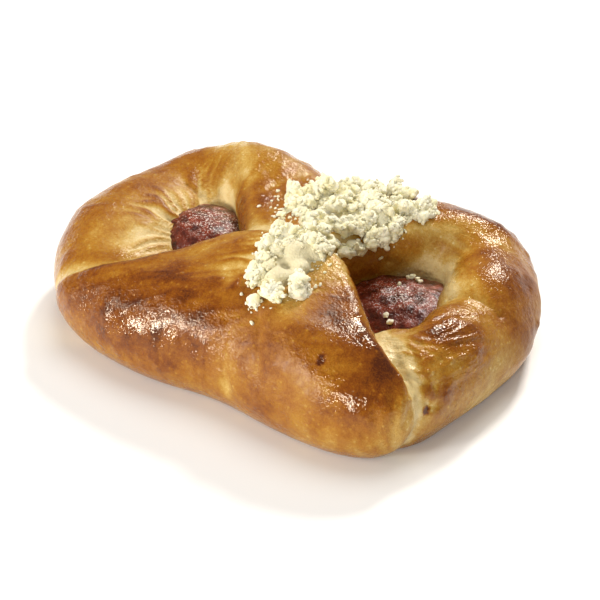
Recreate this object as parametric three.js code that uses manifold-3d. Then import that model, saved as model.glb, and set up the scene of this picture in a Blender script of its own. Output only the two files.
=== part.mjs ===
// Jam turnover: a sweet yeast-dough pastry. Its back and front flaps are folded to the middle over a
// jam filling, which shows in a pit at each end, and butter crumble lies across the fold.
// Millimetres. +X runs along the pastry, +Z is up, and it rests on z = 0.
import * as THREE from 'three';
import { mergeVertices } from 'three/addons/utils/BufferGeometryUtils.js';
import Module from 'manifold-3d';

const wasm = await Module();
wasm.setup();
const { Manifold, Mesh } = wasm;

// ---- Driving dimensions ----

// The outline from above: a rounded rectangle, and where it swells or draws in. Directions are in
// degrees from +X, anticlockwise, on the rectangle squeezed to a circle.
const HALF_LENGTH = 66;
const HALF_WIDTH = 45;
const SQUARENESS = 3.4;
const OUTLINE = [
  { at: 10, spread: 20, swell: 0.012 },
  { at: 60, spread: 18, swell: 0.067 },
  { at: 90, spread: 18, swell: -0.061 },
  { at: 150, spread: 18, swell: -0.035 },
  { at: 188, spread: 18, swell: 0.034 },
  { at: 210, spread: 18, swell: -0.035 },
  { at: 240, spread: 18, swell: -0.06 },
  { at: 270, spread: 18, swell: -0.07 },
  { at: 302, spread: 20, swell: 0.06 },
  { at: 330, spread: 18, swell: -0.03 },
];

// The rim round the outline: a roll that reaches in from the edge, rises above its middle and
// slopes down to the jam, and the places where it differs.
const RIM = { reach: 14.5, middle: 11.5, rise: 13.5, slope: 13.5, inset: 0 };
const RIM_PLACES = [
  { name: 'knuckle beside the front flap', at: -20, spread: 16, reach: -2, rise: 2, slope: -3.5 },
  { name: 'front right corner', at: -48, spread: 14, reach: -1.5, rise: -2.5, slope: -3, inset: 1.2 },
  { name: 'front left corner', at: -140, spread: 16, rise: -2.5, inset: 1.2 },
  { name: 'right rim', at: 28, spread: 24, rise: 3.5, slope: -1 },
  { name: 'crease across the right rim', at: 7, spread: 6, rise: -1.8 },
  { name: 'end of the right pit', at: 6, spread: 10, slope: -2 },
  { name: 'left rim', at: 180, spread: 50, rise: 3, slope: 9 },
  { name: 'shoulder behind the left pit', at: 128, spread: 16, rise: 5 },
];
const RIM_BLEND = 6;
// Slopes of dough that rise from the jam in the right pit: one in front of it and one at its end.
const FRONT_SLOPE = { centre: [44.5, -21.5, 9.5], radii: [14, 15.5, 15.5], blend: 2 };
const END_SLOPE = { centre: [52, 9, 10], radii: [14, 14.5, 11], blend: 3 };

// The floor of the dough under the jam.
const FLOOR_LEFT = 16.5;
const FLOOR_DROP = 3.5;
const FLOOR_SHORE = 8;

// The back flap: its crown, how far its round edge reaches in, and its edge over the jam as y at x.
const BACK = { middle: 12, reach: 16, rise: 19.6, steepness: 0.8, roundness: 9, blend: 5 };
const BACK_WAIST = { at: 4, spread: 16, drawnIn: 3.5 };
const BACK_SHOULDER = { x: -26, y: 34, spreadX: 16, spreadY: 14, rise: 3.5 };
const BACK_EDGE = [
  [-70, 46], [-44, 36], [-26, 15], [-15, 1], [-6, -9], [3, -12], [9, -6], [15, 3], [26, 15], [44, 29], [70, 42],
];

// The front flap lies over the back one. Its edge runs from the left end up to its tip and down
// to the front right corner.
const FRONT = { middle: 11.5, radius: 15, reach: 14.5, rise: 13.5, lean: 0.15, leanFrom: 25 };
const FRONT_EDGE_FORM = { steepness: 0.85, roundness: 6, blend: 1.2 };
const FRONT_CROWN = { at: 14, spread: 44, rise: 7 };
const FRONT_TIP = { x: 6, y: -8, spreadX: 30, spreadY: 16, rise: 5 };
const FRONT_GROOVE = { x: 9, y: -44, spreadX: 6, spreadY: 14, depth: 1.5 };
const FRONT_DRAWN_OUT = [
  { at: 46, spread: 16, by: 1.5 },
  { at: -20, spread: 20, by: 1.4 },
  { at: -62, spread: 14, by: 0.8 },
];
const FRONT_EDGE = [
  [-66, -30], [-46, -29.5], [-36, -26.5], [-22, -15.5], [-8, -6], [6, -4.5],
  [20, -6.5], [30, -14.5], [40, -24], [50, -30], [66, -31],
];

// The jam: a mound in each pit and the strip that joins them under the flaps.
const JAM_LEFT = { centre: [-29, 5, 14.5], radii: [17, 15, 10.5] };
const JAM_RIGHT = { centre: [34, 6, 11], radii: [23, 16.5, 9.5] };
const JAM_STRIP = { centre: [0, 3, 11], radii: [28, 12, 5.5] };
const JAM_BLEND = 2;

// The crumble: a band on each flap, as an ellipse seen from above, turned by degrees.
const CRUMBLE_BACK = { centre: [8, 18.5], radii: [21, 15], turn: 28, height: 3.4, seed: 11, crumbs: 62 };
const CRUMBLE_FRONT = { centre: [9.5, -14.5], radii: [20, 11], turn: 98, height: 3.2, seed: 23, crumbs: 44 };
const CRUMBLE_LUMP = 5;
const CRUMBLE_LOWEST = 22;
const CRUMB_RADIUS = { largest: 2.2, smallest: 0.9 };
const CRUMB_REACH = 0.92;

const JAM_GAP = 0.35;
const CRUMBLE_GAP = 0.6;
const CELL = { dough: 3.2, jam: 4.6, crumble: 2.7 };
const SPARE_BELOW = 2.5;
const LOWEST = -10;
const HIGHEST = 48;

// ---- Curves and blends ----

const smoothMin = (a, b, blend) => {
  const share = THREE.MathUtils.clamp(0.5 + (0.5 * (b - a)) / blend, 0, 1);
  return b * (1 - share) + a * share - blend * share * (1 - share);
};

const smoothMax = (a, b, blend) => -smoothMin(-a, -b, blend);

const bump = (value, at, spread) => Math.exp(-(((value - at) / spread) ** 2));

const direction = (x, y) => Math.atan2(y / HALF_WIDTH, x / HALF_LENGTH);

// 1 in the place's direction, falling to 0 away from it.
const near = (angle, place) => {
  const turn = THREE.MathUtils.euclideanModulo(angle - THREE.MathUtils.degToRad(place.at) + Math.PI, 2 * Math.PI);
  return bump(turn, Math.PI, THREE.MathUtils.degToRad(place.spread));
};

// A smooth curve through knots [x, y] that never overshoots them, held level past its ends.
function curveThrough(knots) {
  const slopes = knots.slice(1).map(([x, y], i) => (y - knots[i][1]) / (x - knots[i][0]));
  const tangents = knots.map((_, i) => {
    const before = slopes[i - 1] ?? slopes[0];
    const after = slopes[i] ?? slopes[i - 1];
    return before * after <= 0 ? 0 : (2 * before * after) / (before + after);
  });
  return (x) => {
    const held = THREE.MathUtils.clamp(x, knots[0][0], knots[knots.length - 1][0]);
    const i = Math.max(0, knots.findIndex(([end], k) => k > 0 && held <= end) - 1);
    const width = knots[i + 1][0] - knots[i][0];
    const t = (held - knots[i][0]) / width;
    const rise = t * t * (3 - 2 * t);
    return knots[i][1] * (1 - rise) + knots[i + 1][1] * rise
      + width * t * (1 - t) * ((1 - t) * tangents[i] - t * tangents[i + 1]);
  };
}

const backEdge = curveThrough(BACK_EDGE);
const frontEdge = curveThrough(FRONT_EDGE);

// ---- The form of each piece, as a distance that is negative inside ----

// Distance from the outline seen from above.
function fromOutline(x, y) {
  const angle = direction(x, y);
  const size = OUTLINE.reduce((sum, place) => sum + place.swell * near(angle, place), 1);
  const across = Math.abs(x) / size / HALF_LENGTH;
  const along = Math.abs(y) / size / HALF_WIDTH;
  const radius = (across ** SQUARENESS + along ** SQUARENESS + 1e-12) ** (1 / SQUARENESS);
  const steep = radius ** (1 - SQUARENESS);
  const slope = Math.hypot(
    (steep * across ** (SQUARENESS - 1)) / HALF_LENGTH,
    (steep * along ** (SQUARENESS - 1)) / HALF_WIDTH,
  );
  return Math.max(((radius - 1) / (slope + 1e-9)) * size, -40);
}

// Distance from a roll of round section, whose upper half is stretched to its own height.
function roll(offset, z, middle, radius, rise) {
  const height = z - middle;
  return Math.hypot(offset, height > 0 ? (height * radius) / rise : height) - radius;
}

function rim(x, y, z, edge) {
  const angle = direction(x, y);
  const here = { ...RIM };
  for (const place of RIM_PLACES) {
    const share = near(angle, place);
    for (const size of ['reach', 'rise', 'slope', 'inset']) here[size] += share * (place[size] ?? 0);
  }
  const offset = edge + here.reach + here.inset;
  const inward = offset < 0 ? (offset * here.reach) / here.slope : offset;
  return roll(inward, z, here.middle, here.reach, here.rise);
}

function backFlap(x, y, z, edge) {
  const waist = y > 0 ? BACK_WAIST.drawnIn * bump(x, BACK_WAIST.at, BACK_WAIST.spread) : 0;
  const shoulder = bump(x, BACK_SHOULDER.x, BACK_SHOULDER.spreadX) * bump(y, BACK_SHOULDER.y, BACK_SHOULDER.spreadY);
  const rise = BACK.rise + BACK_SHOULDER.rise * shoulder;
  const pillow = roll(Math.max(edge + BACK.reach + waist, 0), z, BACK.middle, BACK.reach, rise);
  return smoothMax(pillow, (backEdge(x) - y) * BACK.steepness, BACK.roundness);
}

function frontFlap(x, y, z, edge) {
  const crown = FRONT_CROWN.rise * bump(x, FRONT_CROWN.at, FRONT_CROWN.spread);
  const tip = FRONT_TIP.rise * bump(x, FRONT_TIP.x, FRONT_TIP.spreadX) * bump(y, FRONT_TIP.y, FRONT_TIP.spreadY);
  const groove = FRONT_GROOVE.depth * bump(x, FRONT_GROOVE.x, FRONT_GROOVE.spreadX)
    * bump(y, FRONT_GROOVE.y, FRONT_GROOVE.spreadY);
  const drawnOut = FRONT_DRAWN_OUT.reduce((sum, place) => sum + place.by * bump(x, place.at, place.spread), 0);
  const offset = Math.max(edge + FRONT.reach - drawnOut, 0);
  const pillow = roll(offset, z, FRONT.middle, FRONT.radius, FRONT.rise + crown + tip - groove);
  const pastEdge = (y - frontEdge(x)) * FRONT_EDGE_FORM.steepness - (z - FRONT.leanFrom) * FRONT.lean;
  return smoothMax(pillow, pastEdge, FRONT_EDGE_FORM.roundness);
}

function dough(x, y, z) {
  const edge = fromOutline(x, y);
  const floor = FLOOR_LEFT - FLOOR_DROP / (1 + Math.exp(-x / FLOOR_SHORE));
  const base = Math.max(smoothMax(z - floor, edge + 8, RIM_BLEND), -50);
  let lower = smoothMin(rim(x, y, z, edge), base, RIM_BLEND);
  for (const slope of [FRONT_SLOPE, END_SLOPE]) lower = smoothMin(lower, mound(x, y, z, slope), slope.blend);
  const folded = smoothMin(lower, backFlap(x, y, z, edge), BACK.blend);
  const whole = smoothMin(folded, frontFlap(x, y, z, edge), FRONT_EDGE_FORM.blend);
  return Math.max(whole, -z - SPARE_BELOW);
}

function mound(x, y, z, { centre, radii }) {
  const scaled = Math.hypot((x - centre[0]) / radii[0], (y - centre[1]) / radii[1], (z - centre[2]) / radii[2]);
  return (scaled - 1) * Math.min(...radii);
}

function jam(x, y, z) {
  const left = smoothMin(mound(x, y, z, JAM_LEFT), mound(x, y, z, JAM_STRIP), JAM_BLEND);
  return smoothMin(left, mound(x, y, z, JAM_RIGHT), JAM_BLEND);
}

// How high the crumble stands above the dough: highest in the middle of its band, lumpy, and none
// outside the band.
function crumbleHeight(x, y, band) {
  const turn = THREE.MathUtils.degToRad(band.turn);
  const dx = x - band.centre[0];
  const dy = y - band.centre[1];
  const along = (dx * Math.cos(turn) + dy * Math.sin(turn)) / band.radii[0];
  const across = (dy * Math.cos(turn) - dx * Math.sin(turn)) / band.radii[1];
  const wave = (2 * Math.PI) / CRUMBLE_LUMP / 2;
  const lumps = Math.sin(wave * x + band.seed) * Math.sin(wave * y + 1.7 * band.seed);
  const inBand = 1 - (along * along + across * across) ** 1.5;
  return band.height * Math.min(inBand, 0.8) * (1 + 0.45 * lumps);
}

const crumbleHeap = (band) => (x, y, z) => {
  const height = crumbleHeight(x, y, band);
  const above = dough(x, y, z);
  return Math.max(above - Math.max(height, -3), -above - 2, CRUMBLE_LOWEST - z);
};

// ---- From a form to a closed mesh ----

// No corner of the grid lies nearer to the surface than this share of a cell.
const LEAST_CLEARANCE = 0.05;
const CUBE_FACES = [[1, 2], [2, 4], [4, 1]];

// Where inside and outside touch only across a diagonal, the surface would pinch: the outside corner
// that is nearest to it is filled, until no such place is left.
function fillPinches(value, count, step, clearance) {
  const inside = (i) => value[i] < 0;
  const fillOne = (corners) => {
    const outside = corners.filter((i) => !inside(i));
    value[outside.reduce((a, b) => (value[a] < value[b] ? a : b))] = -clearance;
  };
  const pinchedFace = (face) => {
    const [a, b, c, d] = face.map(inside);
    return a === c && b === d && a !== b;
  };
  const pinchedCube = (cube) => {
    const insides = cube.filter(inside).length;
    const alike = (n) => inside(cube[n]) === inside(cube[7 - n]);
    return [0, 1, 2, 3].some((n) => alike(n) && insides === (inside(cube[n]) ? 2 : 6));
  };
  let filled = true;
  while (filled) {
    filled = false;
    for (let corner = 0; corner < value.length - step[2] - step[1] - step[0]; corner += 1) {
      const cube = Array.from({ length: 8 }, (_, n) => (
        corner + (n & 1) * step[0] + ((n >> 1) & 1) * step[1] + ((n >> 2) & 1) * step[2]));
      const faces = CUBE_FACES.map(([u, v]) => [0, u, u + v, v].map((n) => cube[n]));
      const pinched = [...faces.filter(pinchedFace), ...[cube].filter(pinchedCube)];
      if (pinched.length) {
        fillOne(pinched[0]);
        filled = true;
      }
    }
  }
}

// The closed mesh of the surface where the form is 0: one point in each cell that the surface
// crosses, at the middle of its crossings, and a pair of triangles round each crossed cell edge.
function skinOf(form, low, high, cell) {
  const count = low.map((start, axis) => Math.ceil((high[axis] - start) / cell) + 1);
  const step = [1, count[0], count[0] * count[1]];
  const place = (i, j, k) => [low[0] + i * cell, low[1] + j * cell, low[2] + k * cell];
  const value = new Float64Array(count[0] * count[1] * count[2]);
  const clearance = LEAST_CLEARANCE * cell;
  for (let k = 0; k < count[2]; k += 1) {
    for (let j = 0; j < count[1]; j += 1) {
      for (let i = 0; i < count[0]; i += 1) {
        const distance = form(...place(i, j, k));
        value[i + j * step[1] + k * step[2]] = Math.sign(distance) * Math.max(Math.abs(distance), clearance);
      }
    }
  }
  fillPinches(value, count, step, clearance);

  const points = [];
  const pointOf = new Int32Array(value.length).fill(-1);
  for (let k = 0; k < count[2] - 1; k += 1) {
    for (let j = 0; j < count[1] - 1; j += 1) {
      for (let i = 0; i < count[0] - 1; i += 1) {
        const corner = i + j * step[1] + k * step[2];
        const sum = [0, 0, 0];
        let crossings = 0;
        for (let n = 0; n < 8; n += 1) {
          const bits = [n & 1, (n >> 1) & 1, (n >> 2) & 1];
          const from = corner + bits[0] * step[0] + bits[1] * step[1] + bits[2] * step[2];
          for (let axis = 0; axis < 3; axis += 1) {
            if (bits[axis]) continue;
            const to = from + step[axis];
            if (value[from] < 0 === value[to] < 0) continue;
            const share = value[from] / (value[from] - value[to]);
            for (let a = 0; a < 3; a += 1) sum[a] += bits[a] + (a === axis ? share : 0);
            crossings += 1;
          }
        }
        if (!crossings) continue;
        pointOf[corner] = points.length;
        points.push(place(i + sum[0] / crossings, j + sum[1] / crossings, k + sum[2] / crossings));
      }
    }
  }

  const triangles = [];
  const apart = (a, b) => Math.hypot(...points[a].map((value_, n) => value_ - points[b][n]));
  for (let k = 1; k < count[2] - 1; k += 1) {
    for (let j = 1; j < count[1] - 1; j += 1) {
      for (let i = 1; i < count[0] - 1; i += 1) {
        const from = i + j * step[1] + k * step[2];
        for (let axis = 0; axis < 3; axis += 1) {
          const leaving = value[from] < 0;
          if (leaving === value[from + step[axis]] < 0) continue;
          const u = step[(axis + 1) % 3];
          const v = step[(axis + 2) % 3];
          const round = [from - u - v, from - v, from, from - u].map((c) => pointOf[c]);
          if (!leaving) round.reverse();
          const [a, b, c, d] = round;
          if (apart(a, c) < apart(b, d)) triangles.push(a, b, c, a, c, d);
          else triangles.push(a, b, d, b, c, d);
        }
      }
    }
  }
  const geometry = new THREE.BufferGeometry();
  geometry.setAttribute('position', new THREE.Float32BufferAttribute(points.flat(), 3));
  geometry.setIndex(triangles);
  return geometry;
}

// ---- Joining and cutting ----

function solidOf(geometry) {
  const bare = geometry.clone();
  bare.deleteAttribute('normal');
  bare.deleteAttribute('uv');
  const merged = mergeVertices(bare);
  return new Manifold(new Mesh({
    numProp: 3,
    vertProperties: new Float32Array(merged.attributes.position.array),
    triVerts: new Uint32Array(merged.index.array),
  }));
}

// The largest of a solid's separate bodies, without the scraps that a cut leaves.
const mainBody = (solid) => solid.decompose().reduce((a, b) => (a.volume() > b.volume() ? a : b));

function geometryOf(solid) {
  const { vertProperties, triVerts } = solid.getMesh();
  const geometry = new THREE.BufferGeometry();
  geometry.setAttribute('position', new THREE.Float32BufferAttribute(vertProperties, 3));
  geometry.setIndex(Array.from(triVerts));
  geometry.computeVertexNormals();
  return geometry;
}

function blockBelowGround() {
  const size = 4 * HALF_LENGTH;
  const block = new THREE.BoxGeometry(size, size, size);
  block.translate(0, 0, -size / 2);
  return solidOf(block);
}

// ---- The pieces ----

const MARGIN = 14;
const LOW = [-HALF_LENGTH - MARGIN, -HALF_WIDTH - MARGIN, LOWEST];
const HIGH = [HALF_LENGTH + MARGIN, HALF_WIDTH + MARGIN, HIGHEST];
const grown = (form, by) => (x, y, z) => form(x, y, z) - by;

function makeDough() {
  const whole = solidOf(skinOf(dough, LOW, HIGH, CELL.dough));
  const jamSpace = solidOf(skinOf(grown(jam, JAM_GAP), LOW, HIGH, CELL.jam));
  return mainBody(whole.subtract(blockBelowGround()).subtract(jamSpace));
}

const makeJam = () => solidOf(skinOf(jam, LOW, HIGH, CELL.jam));

// Evenly spread random numbers from 0 to 1, the same on each run.
function drawsFrom(seed) {
  let state = seed;
  return () => {
    state = (state * 48271) % 2147483647;
    return state / 2147483647;
  };
}

// The height of the dough's top at a place seen from above.
function topOfDough(x, y) {
  let high = HIGHEST;
  let low = 0;
  while (high - low > 0.01) {
    const middle = (high + low) / 2;
    if (dough(x, y, middle) < 0) low = middle;
    else high = middle;
  }
  return low;
}

// One crumb: a ball of few sides with each corner pushed in or out.
function crumb(draw, size) {
  const ball = mergeVertices(new THREE.IcosahedronGeometry(size, 0).deleteAttribute('normal').deleteAttribute('uv'));
  const corners = ball.attributes.position;
  const corner = new THREE.Vector3();
  for (let i = 0; i < corners.count; i += 1) {
    corner.fromBufferAttribute(corners, i).multiplyScalar(0.8 + 0.4 * draw());
    corners.setXYZ(i, corner.x, corner.y, corner.z);
  }
  ball.rotateX(draw() * Math.PI).rotateZ(draw() * Math.PI);
  return ball;
}

// A band of crumble on a flap: its heap with crumbs fused on, the largest first.
function crumbleBand(band) {
  const draw = drawsFrom(band.seed);
  const turn = THREE.MathUtils.degToRad(band.turn);
  let heap = solidOf(skinOf(crumbleHeap(band), LOW, HIGH, CELL.crumble));
  for (let n = 0; n < band.crumbs; n += 1) {
    const size = THREE.MathUtils.lerp(CRUMB_RADIUS.largest, CRUMB_RADIUS.smallest, Math.sqrt(n / band.crumbs));
    const angle = 2 * Math.PI * draw();
    const reach = Math.sqrt(draw()) * CRUMB_REACH;
    const along = reach * Math.cos(angle) * band.radii[0];
    const across = reach * Math.sin(angle) * band.radii[1];
    const x = band.centre[0] + along * Math.cos(turn) - across * Math.sin(turn);
    const y = band.centre[1] + along * Math.sin(turn) + across * Math.cos(turn);
    const ball = crumb(draw, size);
    ball.translate(x, y, topOfDough(x, y) + Math.max(crumbleHeight(x, y, band), CRUMBLE_GAP));
    heap = heap.add(solidOf(ball));
  }
  return heap;
}

// The two bands meet over the front flap's tip, and are cut clear of the dough.
function makeCrumble() {
  const doughSpace = solidOf(skinOf(grown(dough, CRUMBLE_GAP), LOW, HIGH, CELL.dough));
  return mainBody(crumbleBand(CRUMBLE_BACK).add(crumbleBand(CRUMBLE_FRONT)).subtract(doughSpace));
}

// ---- Materials and the finished part ----

const finish = (color, roughness) => new THREE.MeshStandardMaterial({ color, roughness, metalness: 0 });

const crust = finish(0xc98a3c, 0.4);
const jamFinish = finish(0x6e2318, 0.25);
const crumbleFinish = finish(0xe9e3b4, 0.85);

function piece(name, solid, material) {
  const mesh = new THREE.Mesh(geometryOf(solid), material);
  mesh.name = name;
  return mesh;
}

const turnover = new THREE.Group();
const pieces = new THREE.Group();
pieces.add(piece('dough', makeDough(), crust));
pieces.add(piece('jam', makeJam(), jamFinish));
pieces.add(piece('crumble', makeCrumble(), crumbleFinish));

// The part's origin is under the middle of its extent.
const middle = new THREE.Box3().setFromObject(pieces).getCenter(new THREE.Vector3());
pieces.position.set(-middle.x, -middle.y, 0);
turnover.add(pieces);

export default turnover;
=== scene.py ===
"""Jam turnover: a glazed yeast-dough pastry folded over jam, with butter crumble across the fold.

The pieces are the crust, the jam, the heap of crumble, the crumbs on it and the loose grains, in a
plain pale studio. Named sizes are in millimetres, in the pastry's own frame; finished meshes are in metres.
"""
import math

import bpy
import numpy as np
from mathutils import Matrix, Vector


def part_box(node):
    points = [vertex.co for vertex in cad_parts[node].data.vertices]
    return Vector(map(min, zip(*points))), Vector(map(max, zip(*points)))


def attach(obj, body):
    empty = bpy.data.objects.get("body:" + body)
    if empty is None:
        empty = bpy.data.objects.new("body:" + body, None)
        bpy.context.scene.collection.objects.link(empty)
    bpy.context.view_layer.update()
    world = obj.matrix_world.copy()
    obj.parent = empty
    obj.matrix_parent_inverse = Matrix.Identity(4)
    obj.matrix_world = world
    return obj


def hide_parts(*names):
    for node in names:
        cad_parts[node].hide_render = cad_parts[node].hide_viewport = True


bl_info = {
    "name": "Jam Turnover",
    "version": (1, 0, 0),
    "blender": (4, 5, 0),
    "location": "View3D > Sidebar > Turnover",
    "description": "Builds a jam turnover with crust, jam and butter crumble in a plain studio",
    "category": "Add Mesh",
}

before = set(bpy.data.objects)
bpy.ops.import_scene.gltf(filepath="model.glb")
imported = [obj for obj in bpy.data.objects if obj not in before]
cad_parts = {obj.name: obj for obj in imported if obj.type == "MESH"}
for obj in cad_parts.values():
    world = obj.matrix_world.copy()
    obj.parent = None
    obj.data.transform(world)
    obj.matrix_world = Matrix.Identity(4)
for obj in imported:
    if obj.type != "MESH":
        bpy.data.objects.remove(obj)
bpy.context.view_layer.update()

MM = 0.001
CM2_PER_M2 = 1e4

# ---- The form: the same sizes as the solids, mm ----

# Where the CAD frame's origin lies in the pastry's own frame.
MIDDLE = (-0.5, 0.15, 0)
HALF_LENGTH = 66
HALF_WIDTH = 45
SQUARENESS = 3.4
# Where the outline swells or draws in: direction, spread in degrees, share of the radius.
OUTLINE = [
    (10, 20, 0.012), (60, 18, 0.067), (90, 18, -0.061), (150, 18, -0.035), (188, 18, 0.034),
    (210, 18, -0.035), (240, 18, -0.06), (270, 18, -0.07), (302, 20, 0.06), (330, 18, -0.03),
]
# The rim's roll, and what is added to its sizes round a direction, over a spread, both in degrees.
RIM = {"reach": 14.5, "middle": 11.5, "rise": 13.5, "slope": 13.5, "inset": 0.0}
RIM_PLACES = {
    "knuckle": {"at": -20, "spread": 16, "reach": -2, "rise": 2, "slope": -3.5},
    "front right corner": {
        "at": -48, "spread": 14, "reach": -1.5, "rise": -2.5, "slope": -3, "inset": 1.2},
    "front left corner": {"at": -140, "spread": 16, "rise": -2.5, "inset": 1.2},
    "right rim": {"at": 28, "spread": 24, "rise": 3.5, "slope": -1},
    "crease across the right rim": {"at": 7, "spread": 6, "rise": -1.8},
    "end of the right pit": {"at": 6, "spread": 10, "slope": -2},
    "left rim": {"at": 180, "spread": 50, "rise": 3, "slope": 9},
    "shoulder behind the left pit": {"at": 128, "spread": 16, "rise": 5},
}
RIM_BLEND = 6
# Slopes that rise from the jam in the right pit, in front of it and at its end: centre, radii, blend.
DOUGH_SLOPES = [((44.5, -21.5, 9.5), (14, 15.5, 15.5), 2), ((52, 9, 10), (14, 14.5, 11), 3)]
# The dough's floor under the jam: its height on the left, its drop to the right over the shore, its inset.
PIT_FLOOR = {"height": 16.5, "drop": 3.5, "shore": 8, "inset": 8}
FOOT_ROUNDING = 1
# Distances from the outline are held at this far inside.
FAR_INSIDE = -40
# The back flap: the height of its roll's middle, its reach in from the outline and its rise, and how steep,
# round and blended its cut edge is. Then where it is drawn in, a hump, and its edge seen from above.
BACK = {"middle": 12, "reach": 16, "rise": 19.6, "steepness": 0.8, "roundness": 9, "blend": 5}
BACK_WAIST = {"at": 4, "spread": 16, "drawn_in": 3.5}
BACK_SHOULDER = {"x": -26, "y": 34, "spread_x": 16, "spread_y": 14, "rise": 3.5}
BACK_EDGE = [
    (-70, 46), (-44, 36), (-26, 15), (-15, 1), (-6, -9), (3, -12),
    (9, -6), (15, 3), (26, 15), (44, 29), (70, 42),
]
# The front flap, in the same way, with a crown, a tip, a groove and places where it is drawn out.
FRONT = {"middle": 11.5, "radius": 15, "reach": 14.5, "rise": 13.5, "lean": 0.15, "lean_from": 25}
FRONT_EDGE_FORM = {"steepness": 0.85, "roundness": 6, "blend": 1.2}
FRONT_CROWN = {"at": 14, "spread": 44, "rise": 7}
FRONT_TIP = {"x": 6, "y": -8, "spread_x": 30, "spread_y": 16, "rise": 5}
FRONT_GROOVE = {"x": 9, "y": -44, "spread_x": 6, "spread_y": 14, "depth": 1.5}
FRONT_DRAWN_OUT = [(46, 16, 1.5), (-20, 20, 1.4), (-62, 14, 0.8)]
FRONT_EDGE = [
    (-66, -30), (-46, -29.5), (-36, -26.5), (-22, -15.5), (-8, -6), (6, -4.5),
    (20, -6.5), (30, -14.5), (40, -24), (50, -30), (66, -31),
]
# The jam: a mound in each pit and a strip between them, each with its centre and radii.
JAM_LEFT = ((-29, 5, 14.5), (17, 15, 10.5))
JAM_RIGHT = ((34, 6, 11), (23, 16.5, 9.5))
JAM_STRIP = ((0, 3, 11), (28, 12, 5.5))
JAM_BLEND = 2
# The heap's two bands: places as in the solid, heights a little lower to leave room for the crumbs.
CRUMBLE_BACK = {"centre": (8, 18.5), "radii": (21, 15), "turn": 28, "height": 3.0, "seed": 11}
CRUMBLE_FRONT = {"centre": (9.5, -14.5), "radii": (20, 11), "turn": 98, "height": 2.6, "seed": 23}
# Lumps of the heap: their size in mm and their height as a share of the heap's.
CRUMBLE_LUMPS = {"size": 5, "height": 0.45}
# The share in a band above which the heap is level.
CRUMBLE_LEVEL = 0.8
# How far the heap reaches under the crust, and how far below it its surface is held outside the bands.
CRUMBLE_DEPTH = 1.5
CRUMBLE_FARTHEST = -3
# The core under the crumbs is thinner by this much, and by a share of how far it lies below a height.
CORE_SUNK = 1.5
CORE_LOWEST = 26.5
CORE_THINNING = 0.5
# Noise of the core's edge: size, height, seed.
RAGGED_EDGE = [(6, 0.9, 61), (2.8, 0.7, 62)]

# Corners of a box that holds the dough with room to spare.
LOW = (-HALF_LENGTH - 6, -HALF_WIDTH - 8, -3)
HIGH = (HALF_LENGTH + 6, HALF_WIDTH + 8, 42)


# ---- Curves, blends and noise ----

def smooth_min(a, b, blend):
    """The lesser of a and b, with their join rounded over the blend."""
    share = np.clip(0.5 + 0.5 * (b - a) / blend, 0, 1)
    return b * (1 - share) + a * share - blend * share * (1 - share)


def smooth_max(a, b, blend):
    return -smooth_min(-a, -b, blend)


def bump(value, at, spread):
    """1 at a value, falling smoothly to 0 on both sides."""
    return np.exp(-(((value - at) / spread) ** 2))


def ease(value, start, end):
    """0 before start, 1 after end, and smooth between them. It falls where start is above end."""
    t = np.clip((value - start) / (end - start), 0, 1)
    return t * t * (3 - 2 * t)


def direction(x, y):
    """Angle round the pastry, in which its corners are 45 degrees from its sides."""
    return np.arctan2(y / HALF_WIDTH, x / HALF_LENGTH)


def near(angle, at, spread):
    """1 in a direction given in degrees, falling to 0 on both sides."""
    turn = (angle - math.radians(at) + math.pi) % (2 * math.pi) - math.pi
    return bump(turn, 0, math.radians(spread))


def curve_through(knots):
    """A smooth curve through knots (x, y) that never overshoots them, held level past its ends."""
    xs = np.array([k[0] for k in knots], float)
    ys = np.array([k[1] for k in knots], float)
    slopes = np.diff(ys) / np.diff(xs)
    before, after = np.append(slopes[0], slopes), np.append(slopes, slopes[-1])
    with np.errstate(divide="ignore", invalid="ignore"):
        tangents = np.where(before * after <= 0, 0, 2 * before * after / (before + after))

    def curve(x):
        held = np.clip(x, xs[0], xs[-1])
        i = np.clip(np.searchsorted(xs, held) - 1, 0, len(xs) - 2)
        width = xs[i + 1] - xs[i]
        t = (held - xs[i]) / width
        rise = t * t * (3 - 2 * t)
        bend = width * t * (1 - t) * ((1 - t) * tangents[i] - t * tangents[i + 1])
        return ys[i] * (1 - rise) + ys[i + 1] * rise + bend

    return curve


back_edge = curve_through(BACK_EDGE)
front_edge = curve_through(FRONT_EDGE)


def noise(points, size, seed=0):
    """Smooth noise from -1 to 1 over points (n, 3), with features of about the given size."""
    q = points / size + seed * 17.31
    cell = np.floor(q).astype(np.int64)
    t = q - cell
    t = t * t * (3 - 2 * t)
    total = np.zeros(len(q))
    for corner in range(8):
        bits = np.array([corner & 1, corner >> 1 & 1, corner >> 2 & 1])
        n = (cell + bits) @ np.array([374761393, 668265263, 1274126177])
        n = (n ^ (n >> 13)) * 1103515245
        n = (n ^ (n >> 16)) & 0xFFFF
        total += np.prod(np.where(bits, t, 1 - t), axis=1) * (n / 32767.5 - 1)
    return total


def layered(points, layers):
    """Noise of several sizes together: each layer is a size, a height and a seed."""
    return sum(height * noise(points, size, seed) for size, height, seed in layers)


# ---- The form of each piece, as a distance that is negative inside, mm ----

def from_outline(x, y):
    """About how far a place is from the pastry's outline seen from above, negative inside."""
    angle = direction(x, y)
    size = 1 + sum(swell * near(angle, at, spread) for at, spread, swell in OUTLINE)
    across, along = np.abs(x) / size / HALF_LENGTH, np.abs(y) / size / HALF_WIDTH
    radius = (across ** SQUARENESS + along ** SQUARENESS + 1e-12) ** (1 / SQUARENESS)
    steep = radius ** (1 - SQUARENESS)
    slope = np.hypot(
        steep * across ** (SQUARENESS - 1) / HALF_LENGTH, steep * along ** (SQUARENESS - 1) / HALF_WIDTH)
    return np.maximum((radius - 1) / (slope + 1e-9) * size, FAR_INSIDE)


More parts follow.
